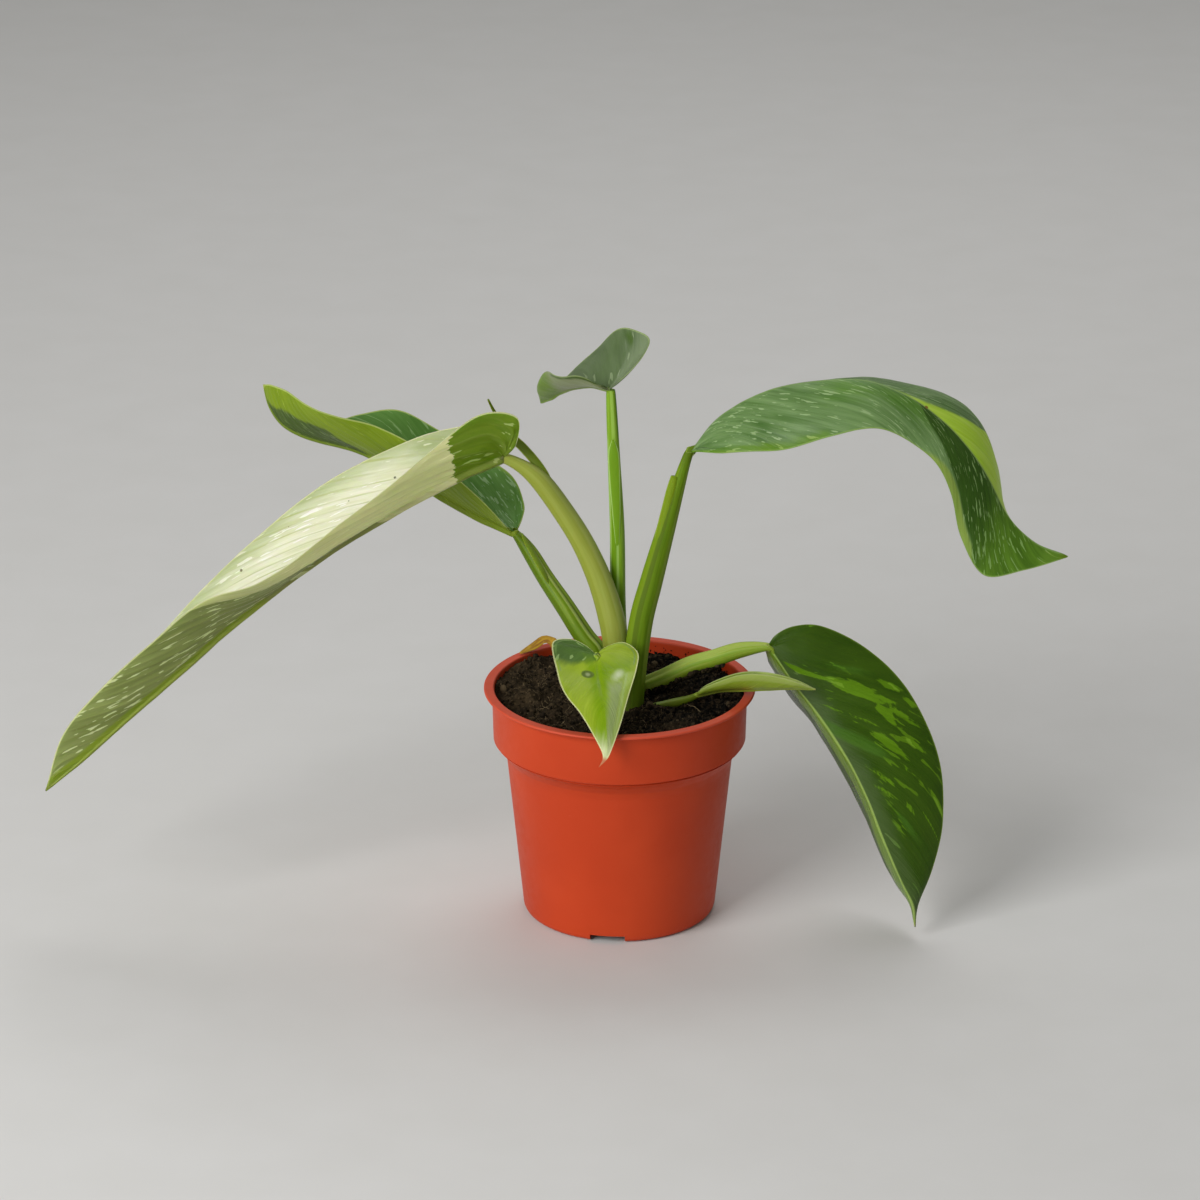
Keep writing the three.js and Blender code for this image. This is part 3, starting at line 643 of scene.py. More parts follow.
LEAF_LOOKS["front"] = dict(
    upper=("8aa21a", "9eb436", "a8bc46", 0.04), lower=("96aa3c", "a8ba50", "b8c86e", 0.05),
    dash=(0.8, 4),
    layers=[
        # Painted shade: the inside of the cupped lobe is darker; its pale marks are the leaf's
        # own.
        ("3e5a20", "587636", "88a262", 0.1, 1.2, 0.7, None),
        # The vivid green down the middle is the leaf's own; where this layer follows the crease
        # across the blade it is painted shade of that fold.
        ("709206", "7c9a10", "86a21e", 0, 1, 2.5, None),
        # Painted sheen: the grey-green band down the blade.
        ("8a9c5c", "92a266", "a0ae7c", 0.05, 1, 1.6, 1),
        ("bec890", "ced4a6", "768e4c", 0.14, 2, 3, None),
        ("94ac42", "a2b854", "aabe60", 0, 0.3, 0.5, None),
        ("98b05c", "a4b86a", "aabe6e", 0, 0.2, 0.4, None),
        ("76944a", "8aa65e", "8ca65a", 0, 0.3, 0.3, None),
        # Painted highlight: the whitish glint on the blade.
        ("b8c696", "cad5b0", "cad5b0", 0, 0.7, 1.3, 1),
        ("546828", "607236", "607236", 0, 0.1, 0.25, 1),
        ("8c9868", "96a074", "96a074", 0, 0.1, 0.3, 1),
    ],
    rib_upper="84a01e", rib_lower="b4c464", rib=0.15, margin="dee2a4", tip="be7a54", roughness=0.3,
    tip_reach=(0.9, 0.94),
)
LEAF_LOOKS["new"] = dict(
    upper=("849c28", "92a63c", "a0ae50", 0.05), lower=("7c9222", "8ca034", "9eac48", 0.06),
    dash=(0.7, 6),
    layers=[
        ("60780e", "6e841c", "7c902c", 0.05, 1, 2, None),
        ("8ea046", "98a856", "a0b060", 0, 0.5, 0.8, None),
    ],
    rib_upper="96ac3c", rib_lower="96aa46", rib=0.4, margin="a6b46e", tip="aaaa5a", roughness=0.36,
)


def leaf_material(name, look, spots):
    paint = Paint(name)
    vein, run, along = paint.values("leaf")
    margin, side, from_rib = paint.values("edge")

    def streaks(across, length, detail=2.0, roughness=0.5, shift=0.0):
        """Noise drawn out along the side veins."""
        u, v = paint.math("DIVIDE", vein, across), paint.math("DIVIDE", run, length)
        return paint.noise(paint.three(u, v, shift), 1.0, detail, roughness)

    broad = paint.step(streaks(9, 40), 0.36, 0.64)
    fine = paint.step(streaks(1.1, 16, 3.0, 0.6, 4.0), 0.3, 0.7)
    middling = paint.step(streaks(2.6, 18, 2.0, 0.5, 21.0), 0.34, 0.66)
    tone = paint.sum(middling, 0.38, paint.sum(fine, 0.22, paint.times(broad, 0.4)))
    ragged = paint.math("SUBTRACT", streaks(3, 12, 4.0, 0.6, 9.0), 0.5)
    clusters = paint.math("SUBTRACT", streaks(16, 34, 1.0, 0.5, 13.0), 0.5)
    width, length = look["dash"]
    dashes = paint.sum(clusters, 0.25, streaks(2.3 * width, 2.3 * length, 2.0, 0.5, 17.0))

    def coloured(deep, light, dash, cover):
        body = paint.mix(deep, light, tone)
        if not cover:
            return body
        level = 0.715 - 0.8 * cover
        return paint.mix(body, dash, paint.step(dashes, level, level + 0.025))

    paint.base(coloured(*look["lower"]), coloured(*look["upper"]), side)
    layers = look["layers"]
    zones = [zone for i in range(math.ceil(len(layers) / 3)) for zone in paint.values(f"zones{i}")]
    for zone, (*palette, rag, soft, kept) in zip(zones, layers):
        share = paint.step(paint.sum(ragged, 2 * rag, zone), -soft, soft)
        if kept is not None:
            share = paint.times(share, side if kept else paint.math("SUBTRACT", 1.0, side))
        paint.coat(coloured(*palette), share)

    pale = paint.mix(look["rib_lower"], look["rib_upper"], side)
    if "veins" in look:
        wave = paint.math("SINE", paint.times(vein, 2 * math.pi / VEIN_SPACING))
        shown = paint.times(paint.sum(side, 0.6, 0.4), look["veins"])
        paint.coat(pale, shown, paint.step(wave, 0.72, 1.0), middling)
    paint.coat(pale, paint.step(from_rib, 0.35, -0.15), look["rib"])
    for (*_, radius, tint), spot in zip(look.get("specks", []), spots):
        away = paint.distance(paint.place(), spot)
        paint.coat(tint, paint.step(away, 1.15 * radius * MM, 0.75 * radius * MM), 0.85)
    paint.coat(look["margin"], paint.step(margin, 0.7, 0.3), 0.8)
    paint.coat(look["tip"], paint.step(along, *look.get("tip_reach", (0.975, 0.995))))

    relief = paint.sum(paint.cells(paint.place(), 1100), 0.25, fine)
    paint.bump(relief, 0.12, 0.5)
    rough = paint.step(broad, 0.0, 1.0, look["roughness"] - 0.04, look["roughness"] + 0.07)
    return paint.finish(
        rough, Subsurface_Weight=look.get("glow", 0.15), Subsurface_Scale=0.002,
        Subsurface_Radius=(0.7, 1.0, 0.4),
    )


# Blades
def curves_of(leaf):
    """The curves of the midrib and the edges, the edges' last place and the midrib's first."""
    midrib = leaf["midrib"]
    edges = [through([midrib[0], *leaf[name], midrib[-1]]) for name in ("left_edge", "right_edge")]
    last = len(leaf["left_edge"]) + 1
    return through(midrib), edges, last, last + 1 - len(midrib)


# Blotches of the dark leaf: place, share of the way out, half length and half width
BLOTCHES = [(5.62, 0.14, 12, 2.6), (7.77, 0.4, 3, 1.5), (4.3, 0.62, 5, 0.9)]
LONG_BLOTCHES = [
    (4.83, 0.54, 9, 3.4), (4.1, 0.3, 10, 1.2), (5.02, 0.84, 4, 1.2), (5.52, 0.92, 2, 1.3),
    (5.25, 0.72, 4.5, 1.1), (5.7, 0.78, 5, 0.7), (5.57, 0.62, 3.2, 2.8), (6.1, 0.5, 5.4, 2.6),
    (5.3, 0.32, 6.4, 0.9), (6.4, 0.77, 4.5, 1.1), (7.58, 0.9, 2, 1), (7.5, 0.5, 1.2, 1),
    (7.97, 0.78, 2.2, 0.7), (6.6, 0.25, 3, 0.6), (6.95, 0.2, 3, 0.6), (6.75, 0.55, 1.4, 0.9),
]


def fields_of(key, place, out, half, width, vein, run, lobe):
    """Distances in millimetres, above 0 inside what each marks on the leaf and below 0 outside."""
    from_rib, from_margin = out * width, (1 - out) * width
    least, most = np.minimum, np.maximum

    def only(which, value):
        return np.where(half == which, value, FAR_OUT)

    def either(first, second):
        return np.where(half == 0, first, second)

    def between(places, outs):
        return np.interp(place, places, outs)

    def disc(which, at_place, at_out, wide, long, slope):
        """An oval spot on one half: its centre, its half sizes across and along, its slope."""
        across = (out - at_out) * width.max()
        up = 8 * (place - at_place) + slope * across
        return only(which, (1 - np.hypot(across / wide, up / long)) * long)

    def marks(which, spots):
        """Long marks along the side veins of one half."""
        field = np.full(len(place), FAR_OUT)
        for at_place, at_out, long, wide in spots:
            middle = nearest(place, out, half, which, at_place, at_out)
            reach = np.hypot((vein - vein[middle]) / wide, (run - run[middle]) / long)
            field = most(field, (1 - reach) * wide)
        return only(which, field)

    if key == "left":
        near, far = 20 * (place - 5.33 - 2.9 * out), 20 * (place - 8.3 - 0.5 * out)
        return [
            only(1, most(5 - from_margin, 14 * (4.4 - place))),
            # Painted light on the near half's lower side, lighter where it turns away from the
            # lamps.
            only(0, 14 * (7 - place)),
            only(0, 1.4 + 2.2 * (place - 6.2) - from_rib),
            either(near, most(16 * (2.6 - place), far)),
            only(0, least(3 - from_rib, 20 * (place - 7.4))),
            only(0, 20 * (4.15 - 0.45 * out - place)),
        ]
    if key == "back_left":
        outs = [0, 0.2, 0.53, 0.53, 0.48, 0.28, 0.1]
        border = between([6.6, 6.9, 7.5, 8.4, 9.2, 9.8, 10.5], outs)
        return [
            only(0, (border - out) * width),
            # Painted light on the lobe's upper side, against the cream leaf's shadow.
            only(1, 10 * (4.6 - place)),
            only(1, least(1.6 - from_margin, 6 * (4.4 - place))),
        ]
    if key == "centre":
        # Painted shade along the inside of the near half's rolled margin.
        band = only(0, least(2 - from_margin, 8 * (5.5 - place)))
        dark = most(marks(1, [(3.2, 0.86, 4, 2)]), band)
        # The second field is painted sheen on the far half's lobe.
        return [dark, only(1, 10 * (2.6 - place)), only(0, 14 * (place - 5.9))]
    if key == "right":
        fold = between([6.5, 7.25, 7.6, 7.85, 8.2, 8.5], [-0.05, 0.1, 0.28, 0.45, 0.75, 1.3])
        droop = between(
            [6.9, 7.15, 7.25, 7.49, 7.85, 8.36, 8.87, 9.35, 9.7],
            [-0.3, 0.05, 0.38, 0.5, 0.68, 0.78, 0.83, 0.88, 1.2],
        )
        strip = between([6.7, 7.3, 7.85, 8.36, 8.87, 9.35, 9.6], [-1, 2.5, 5.5, 5.6, 4.6, 3.2, -1])
        low_edge = only(1, least(3 - from_margin, 14 * (5 - place)))
        return [
            only(1, least(14 * (place - 5.4), (0.4 - out) * width)),
            only(1, (droop - out) * width),
            only(0, (fold - out) * width),
            only(1, strip - from_margin),
            only(1, 14 * (place - 9.6)),
            most(14 * (place - 11.3), low_edge),
            # Painted light on the half beyond the fold, where it turns away from the key lamp.
            only(0, least(14 * (place - 6.6), (out - fold) * width)),
        ]
    if key == "low_right":
        speckled = only(0, least(14 * (place - 4.3), (out - 0.2) * width))
        return [
            least(speckled, 14 * (8 - place)),
            # Painted sheen beside the midrib.
            only(0, np.where(place > lobe, 5 - from_rib, FAR_OUT)),
            marks(0, BLOTCHES),
            marks(0, LONG_BLOTCHES),
            only(1, 9 - from_rib),
        ]
    if key == "front":
        lobe_end = np.interp(out, [0, 0.12, 0.45, 0.95], [3.2, 3.41, 3.57, 3.79])
        vivid = either(most(0.6, 3.6 - 1.6 * (place - 4.4)), 4.5) - from_rib
        # The crease band is painted shade of a fold across the blade.
        crease = only(0, least(1.6 - 5 * abs(place - 3.6 - 0.2 * out), (0.85 - out) * width))
        sheen = least(from_rib - 3.5 + 2 * (place - 4.4), 5 * (place - 4.4))
        inner = least(5 * (place - 4.1), 5 * (6.8 - place))
        border = 5 * (lobe_end + either(0, 0.3) - place)
        return [
            # Painted shade inside the cupped lobe.
            only(1, 5 * (lobe_end - place)),
            most(least(vivid, 5 * (place - 3.3)), crease),
            only(0, least((0.68 - out) * width, sheen)),
            5 * (place - 6.9),
            only(0, least((out - 0.74) * width, inner)),
            only(0, least(0.5 - abs(out - 0.74) * width, inner)),
            least(0.3 - abs(from_margin - 1.6), border),
            # Painted highlight: the whitish glint.
            disc(0, 4.1, 0.5, 2.4, 1.4, 0),
            disc(1, 3.92, 0.26, 2.9, 1.35, -0.1),
            disc(1, 3.92, 0.26, 1.1, 0.6, -0.1),
        ]
    return [only(0, 12 * (3.1 - place) - 4 * out), only(1, (out - 0.78) * width)]


def nearest(place, out, half, at_half, at_place, at_out):
    """The number of the blade's point that lies nearest to a spot."""
    return np.argmin(np.hypot(place - at_place, 4 * (out - at_out)) + 99 * (half != at_half))


def blade_rows(leaf, edges, centre, places, last):
    """The points of both halves, row by row from edge to edge, with what is known of each: its
    place, its share of the way out, its half, and how wide that half is there."""
    shares = np.append((np.arange(HALF_COLUMNS) / (HALF_COLUMNS - 1)) ** 1.25 * 0.975, [0.99, 1])
    ripple = leaf["wave"] * np.sin(2 * np.pi * leaf["waves"] * places / last)
    ripple *= np.sin(np.pi * places / last)
    sheets, facts = [], []
    for half, edge in enumerate(edges):
        across = edge(places) - centre
        forward = edge(places + 0.1) - edge(places - 0.1)
        up = unit(np.cross(forward, across) if half == 0 else np.cross(across, forward))
        width = np.linalg.norm(across, axis=1)
        out = shares[::-1] if half == 0 else shares[1:]
        bow = leaf["arch"][half] * width[:, None] * 4 * out * (1 - out)
        lift = (bow + ripple[:, None] * out**2)[..., None]
        sheets.append(centre[:, None] + across[:, None] * out[:, None] + up[:, None] * lift)
        fact = np.broadcast_arrays(places[:, None], out, half, width[:, None])
        facts.append(np.stack(fact, axis=-1))
    return np.concatenate(sheets, axis=1), np.concatenate(facts, axis=1)


def grid_faces(grid, points):
    """The faces of a grid without those that have no width, and the way it faces at each point."""
    quads = np.stack([grid[:-1, :-1], grid[:-1, 1:], grid[1:, 1:], grid[1:, :-1]], axis=-1)
    quads = quads.reshape(-1, 4)
    a, b, c, d = (points[quads[:, k]] for k in range(4))
    normals = np.zeros_like(points)
    for k in range(4):
        np.add.at(normals, quads[:, k], np.cross(c - a, d - b))
    faces = []
    for quad in quads.tolist():
        corners = tuple(corner for i, corner in enumerate(quad) if corner != quad[i - 1])
        if len(set(corners)) > 2:
            faces.append(corners)
    return faces, unit(normals)


def make_blade(key):
    leaf, look = LEAVES[key], LEAF_LOOKS[key]
    spine, edges, last, lobe = curves_of(leaf)
    dense = np.linspace(0, last, 40 * last + 1)
    curves = [spine(dense - lobe), edges[0](dense), edges[1](dense)]
    travel = np.max([np.diff(lengths_along(curve)) for curve in curves], axis=0)
    travel = np.concatenate([[0], np.cumsum(travel)])
    rows = round(travel[-1] / ROW_STEP)
    places = np.interp(np.linspace(0, travel[-1], rows + 1), travel, dense)

    sheet, facts = blade_rows(leaf, edges, spine(places - lobe), places, last)
    flat = sheet.reshape(-1, 3)
    _, first, number = np.unique(np.round(flat, 4), axis=0, return_index=True, return_inverse=True)
    points, grid = flat[first], number.reshape(sheet.shape[:2])
    place, out, half, width = facts.reshape(-1, 4)[first].T
    faces, normals = grid_faces(grid, points)

    away, from_margin = out * width, (1 - out) * width
    spine_run = lengths_along(curves[0])
    along = np.interp(place, dense, spine_run) / spine_run[-1]
    lean = np.minimum(leaf["lean"], 0.7 * place) * (1 - 0.6 * smooth(place, last - 3, last))
    mean_step = travel[-1] / last
    slant = 1 / math.hypot(1, leaf["lean"] * mean_step / width.max())
    vein = np.interp(place - lean * out, dense, travel) * slant
    run = np.where(half == 0, -away, away) / slant

    thickness = MARGIN_HALF + (BLADE_HALF - MARGIN_HALF) * smooth(from_margin, 0, 2)
    neck_radius = leaf.get("neck", 1) * leaf["radii"][-1]
    rib_radius = RIB_END_RADIUS + (neck_radius - RIB_END_RADIUS) * (1 - along) ** 0.8
    ridge = np.sqrt(np.maximum(rib_radius**2 - away**2, 0))
    groove = RIB_GROOVE_DEPTH * (1 - along) * np.exp(-((away / RIB_GROOVE_WIDTH) ** 2))
    shown = smooth(away, 0.5, 5) * smooth(from_margin, 0, 4)
    wave = 0.5 + 0.5 * np.sin(2 * np.pi * vein / VEIN_SPACING)
    uneven = 0.4 * ripples(np.column_stack([vein / 2.2, run / 12, half]), 1, 3)
    relief = leaf["relief"] * shown * (wave**2 + uneven)
    seed = sorted(LEAVES).index(key)
    sway = 0.35 * ripples(points, 14, seed) + 0.12 * ripples(points, 5, seed + 10)
    upper = points + normals * (thickness - groove - relief + sway)[:, None]
    lower = points + normals * (sway - thickness - ridge - relief)[:, None]

    count = len(points)
    closed = faces + [tuple(count + corner for corner in reversed(face)) for face in faces]
    for column in (0, -1):
        rim = grid[:, column].tolist()
        for a, b in zip(rim, rim[1:]):
            if a != b:
                pair = (a, b, b + count, a + count)
                closed.append(pair if column else pair[::-1])

    fields = fields_of(key, place, out, half, width, vein, run, lobe)
    fields += [np.zeros(count)] * (-len(fields) % 3)
    edge = np.column_stack([from_margin, np.ones(count), away - 0.35])
    under = np.column_stack([from_margin, np.zeros(count), away - rib_radius])
    values = {
        "leaf": np.tile(np.column_stack([vein, run, along]), (2, 1)),
        "edge": np.vstack([edge, under]),
    }
    for i in range(0, len(fields), 3):
        values[f"zones{i // 3}"] = np.tile(np.column_stack(fields[i : i + 3]), (2, 1))
    specks = look.get("specks", [])
    spots = [points[nearest(place, out, half, *speck[:3])] * MM for speck in specks]
    name = f"leaf_{key}"
    material = leaf_material(name, look, spots)
    return make_piece(name, np.vstack([upper, lower]), closed, material, values)


# Stalks. A band is a stripe along the stalk as seen from the front: its middle and half width as
# shares of the stalk's radius, its colour, and the heights between which it is seen.
STALK_LOOKS = {}
STALK_LOOKS["left"] = dict(
    body="929c40", deep="8d973a", pale="98a24a",
    bands=[(0.75, 0.3, "9ca654", 90, 190), (-0.85, 0.25, "889230", 90, 186)], sheath="5c6e1a",
    sheath_edge="96a446",
)
STALK_LOOKS["back_left"] = dict(
    body="668212", deep="567206", pale="82982e",
    bands=[
        (-0.8, 0.3, "526c02", 90, 160), (0.42, 0.11, "acbc64", 90, 142),
        (0.85, 0.15, "7c9232", 90, 160),
    ],
    sheath="768e22", sheath_edge="9cac4c",
)
STALK_LOOKS["centre"] = dict(
    body="7ca028", deep="709616", pale="8cb046",
    bands=[
        (-0.45, 0.3, "628a0a", 90, 188), (-0.92, 0.12, "96b85c", 90, 197),
        (0.02, 0.13, "94b658", 90, 172), (0.45, 0.13, "94b658", 168, 190),
        (0.1, 0.28, "94b84c", 197, 240), (0.95, 0.16, "548210", 197, 240),
    ],
    sheath="6c9416", sheath_edge="9ebe68",
)
STALK_LOOKS["right"] = dict(
    body="5e7c08", deep="527002", pale="64820e", roughness=0.6,
    bands=[
        (-0.75, 0.25, "6e8812", 90, 190), (-0.3, 0.2, "506602", 90, 176),
        # The last band is painted shade: the top of the stalk is darkened where it meets the
        # blade.
        (0.85, 0.17, "78902c", 100, 190), (0, 1.2, "546c08", 186, 200),
    ],
    sheath="70880e", sheath_edge="869c2c",
)
STALK_LOOKS["low_right"] = dict(
    body="8aa03a", deep="7c9428", pale="a0b258",
    bands=[
        (-0.62, 0.3, "98aa4e", 90, 120), (0.05, 0.16, "749418", 96, 112),
        (0.8, 0.22, "7c9424", 90, 120),
    ],
)
STALK_LOOKS["front"] = dict(body="849e2e", deep="74901e", pale="a0b450", bands=[])
STALK_LOOKS["new"] = dict(
    body="70881a", deep="627a0e", pale="8ca03c", bands=[(-0.6, 0.25, "889c3a", 80, 100)],
)


def stalk_material(name, look):
    paint = Paint(name)
    run, across, height = paint.values("stalk")
    spot = paint.three(paint.math("DIVIDE", run, 34.0), paint.times(across, 2.4))
    lines = paint.noise(spot, 1.0, 3.0, 0.55)
    paint.base(look["deep"], look["body"], paint.step(lines, 0.36, 0.54))
    paint.coat(look["pale"], paint.step(lines, 0.54, 0.7), 0.6)
    for middle, half, tint, low, high in look["bands"]:
        away = paint.math("ABSOLUTE", paint.math("SUBTRACT", across, middle))
        share = paint.step(away, half + 0.09, half - 0.05)
        above = paint.step(height, low - 3.0, low + 3.0)
        paint.coat(tint, share, above, paint.step(height, high + 3.0, high - 3.0), 0.85)
    if "sheath" in look:
        edge = paint.step(paint.math("ABSOLUTE", across), 0.72, 0.92)
        is_sheath = paint.step(run, SHEATH_MARK - 101, SHEATH_MARK - 100)
        paint.coat(paint.mix(look["sheath"], look["sheath_edge"], edge), is_sheath)
    paint.coat("3e420e", paint.step(height, 98.0, 89.0), 0.5)
    paint.bump(paint.sum(paint.cells(paint.place(), 1500), 0.2, lines), 0.1, 0.4)
    dull = look.get("roughness", 0.36)
    rough = paint.step(lines, 0.3, 0.7, dull, dull + 0.1)
    return paint.finish(rough, Subsurface_Weight=0.1, Subsurface_Scale=0.002)


def sweep(route, radii, facing, flatness=1, groove=0.0, sides=STALK_SIDES, mark=0):
    """The rings of points round a stalk, its faces and what its material reads."""
    axis, thickness = through(route), through(radii)
    last = len(route) - 1
    dense = np.linspace(0, last, 60 * last + 1)
    run = lengths_along(axis(dense))
    rings = max(round(run[-1] / RING_STEP), 8)
    runs = np.linspace(0, run[-1], rings + 1)
    places = np.interp(runs, run, dense)
    centre = axis(places)
    along = unit(axis(places + 0.05) - axis(places - 0.05))
    up = np.array(facing, float)
    front = unit(up - along * (along @ up)[:, None])
    side = np.cross(along, front)
    radius = thickness(places)
    angle = around(sides)
    turn = np.minimum(angle, 2 * np.pi - angle)
    reach = radius * (1 - groove * np.exp(-((turn / GROOVE_ANGLE) ** 2)))
    offset = front[:, None] * (reach * flatness * np.cos(angle))[..., None]
    offset = offset + side[:, None] * (reach * np.sin(angle))[..., None]
    points = centre[:, None] + offset
    seen_side = unit(np.cross(along, TOWARDS_FRONT))
    across = np.einsum("ijk,ik->ij", offset, seen_side) / radius
    facts = np.stack(np.broadcast_arrays(runs[:, None] + mark, across, points[..., 2]), axis=-1)
    return points.reshape(-1, 3), tube_faces(rings + 1, sides), facts.reshape(-1, 3)


def make_sheath(leaf, sheath):
    """The free end of a sheath, from a root within the stalk."""
    first, second = (np.array(point, float) for point in sheath["route"][:2])
    axis = through(leaf["route"])(np.linspace(0, len(leaf["route"]) - 1, 200))
    root = axis[np.argmin(np.linalg.norm(axis - (first - (second - first)), axis=1))]
    route, radii = [root, *sheath["route"]], [0.4, *sheath["radii"]]
    facing = sheath.get("facing", leaf["facing"])
    return sweep(route, radii, facing, sheath["flatness"], 0, FLAT_SIDES, SHEATH_MARK)


def make_petiole(key):
    leaf = LEAVES[key]
    spine, edges, _, lobe = curves_of(leaf)
    forward = spine(1)[0] - spine(0)[0]
    up = unit(np.cross(edges[1](lobe + 1)[0] - edges[0](lobe + 1)[0], forward))
    end, neck = leaf["radii"][-1], leaf.get("neck", 1)
    inner = [spine(place)[0] - 0.5 * neck * end * up for place in (0.2, 0.4)]
    route, radii = list(leaf["route"]), list(leaf["radii"])
    if neck < 1:
        before, last = (np.array(point, float) for point in route[-2:])
        route.insert(-1, last - NECK_LENGTH * unit(last - before))
        radii[-1:] = [end, neck * end]
    radii += [0.5 * neck * end, 0.2 * neck * end]
    groove = leaf.get("groove", GROOVE_DEPTH)
    parts = [sweep([*route, *inner], radii, leaf["facing"], groove=groove)]
    if "sheath" in leaf:
        parts.append(make_sheath(leaf, leaf["sheath"]))
    points, faces, facts = joined(*parts)
    material = stalk_material(f"petiole_{key}", STALK_LOOKS[key])
    return make_piece(f"stalk_{key}", points, faces, material, {"stalk": facts})


# Withered leaf
def make_withered():
    points, faces, facts = sweep(**WITHERED, flatness=0.22, sides=FLAT_SIDES)
    points = points + 0.25 * np.stack([ripples(points, 3, 30 + k) for k in range(3)], axis=-1)
    paint = Paint("withered_leaf")
    run, across, _ = paint.values("stalk")
    spot = paint.three(paint.math("DIVIDE", run, 9.0), paint.times(across, 1.5))
    folds = paint.noise(spot, 1.0, 4.0, 0.65)
    paint.base("b08a26", "926822", paint.step(folds, 0.46, 0.58))
    paint.coat("603a18", paint.step(folds, 0.6, 0.7))
    paint.coat("784a28", paint.step(run, 20.0, 15.0), 0.8)
    paint.bump(folds, 0.5, 0.6)
    material = paint.finish(0.7, 0.2)
    return make_piece("withered_leaf_dry", points, faces, material, {"stalk": facts})


# Soil
def soil_height(x, y):
    lumps = 0.6 * np.sin(x / 6 + 1) * np.cos(y / 5) + 0.4 * np.sin(x / 3.3 - y / 4.1)
    swells = [
        rise * np.exp(-((x - cx) ** 2 + (y - cy) ** 2) / reach**2)
        for cx, cy, reach, rise in SOIL_SWELLS
    ]
    return SOIL_LEVEL + lumps + sum(swells)


def soil_surface(x, y):
    """The soil's height with its clods and grains."""
    flat = np.stack([x, y, np.zeros_like(x)], axis=-1)
    clods = [rise * ripples(flat, size, 40 + i) for i, (rise, size) in enumerate(SOIL_CLODS)]
    return soil_height(x, y) + sum(clods) - SOIL_SINK


def height_at(x, y):
    return float(soil_surface(np.array([x]), np.array([y]))[0])


def ball(subdivisions):
    """The points and faces of an icosphere of radius 1."""
    work = bmesh.new()
    bmesh.ops.create_icosphere(work, subdivisions=subdivisions, radius=1)
    points = np.array([vertex.co[:] for vertex in work.verts])
    faces = [tuple(vertex.index for vertex in face.verts) for face in work.faces]
    work.free()
    return points, faces


BALL, GRAIN = ball(2), ball(1)


def crumb(random, x, y, size, z=None, shape=BALL):
    """A rough little ball that lies on the soil, or sits at the height z."""
    points, faces = shape
    rough = ripples(points * 1.6 + random.uniform(0, 99, 3), 1, 7)
    swollen = points * (1 + 0.4 * rough)[:, None]
    stretch = random.uniform(0.6, 1.3, 3)
    angle = random.uniform(0, 2 * np.pi)
    if z is None:
        z = height_at(x, y) + 0.25 * size
    placed = turned(swollen * stretch * size, angle) + (x, y, z)
    tone = np.tile([random.uniform(0, 1), 0, 0], (len(points), 1))
    return placed, faces, tone


def fibre(random, x, y, length, radius, tone):
    """A thin bent root thread that lies on the soil."""
    heading = random.uniform(-0.7, 0.7) + np.pi * random.integers(0, 2)
    step = length / FIBRE_STEPS
    spots = [(x, y)]
    for _ in range(FIBRE_STEPS):
        heading += random.uniform(-0.9, 0.9)
        x, y = x + step * math.cos(heading), y + step * math.sin(heading)
        spots.append((x, y))
    spots = np.array(spots)
    heights = soil_surface(spots[:, 0], spots[:, 1]) + random.uniform(-0.1, 0.8, len(spots))
    route = np.column_stack([spots, heights])
    along = unit(np.gradient(route, axis=0))
    side = unit(np.cross(along, (0, 0, 1.0)))
    over = np.cross(side, along)
    thin = radius * np.sqrt(1 - 0.9 * np.linspace(-1, 1, len(route)) ** 2)
    angle = around(FIBRE_SIDES)[:, None]
    section = side[:, None] * np.cos(angle) + over[:, None] * np.sin(angle)
    points = (route[:, None] + thin[:, None, None] * section).reshape(-1, 3)
    return points, tube_faces(len(route), FIBRE_SIDES), np.tile([tone, 1, 0], (len(points), 1))


def anywhere(random, reach):
    """A random spot within that reach of the middle."""
    away, turn = reach * math.sqrt(random.uniform(0, 1)), random.uniform(0, 2 * np.pi)
    return away * math.cos(turn), away * math.sin(turn)


def soil_body():
    radii = SOIL_EDGE * np.arange(1, SOIL_RINGS + 1) / SOIL_RINGS
    x, y, _ = np.vstack([ring(radius, 0, SOIL_SEGMENTS) for radius in radii]).T
    top = np.column_stack([x, y, soil_surface(x, y)])
    rings = np.vstack([top, *(ring(*spot, SOIL_SEGMENTS) for spot in SOIL_WALL)])
    count = SOIL_RINGS + len(SOIL_WALL)
    faces = [(a, d, c, b) for a, b, c, d in tube_wall(count, SOIL_SEGMENTS)]
    middle = len(rings)
    faces += [(middle, j, (j + 1) % SOIL_SEGMENTS) for j in range(SOIL_SEGMENTS)]
    faces.append(tuple(reversed(range(middle - SOIL_SEGMENTS, middle))))
    points = np.vstack([rings, [(0, 0, height_at(0.0, 0.0))]])
    return points, faces, np.tile([0.4, 0, 1.0], (middle + 1, 1))


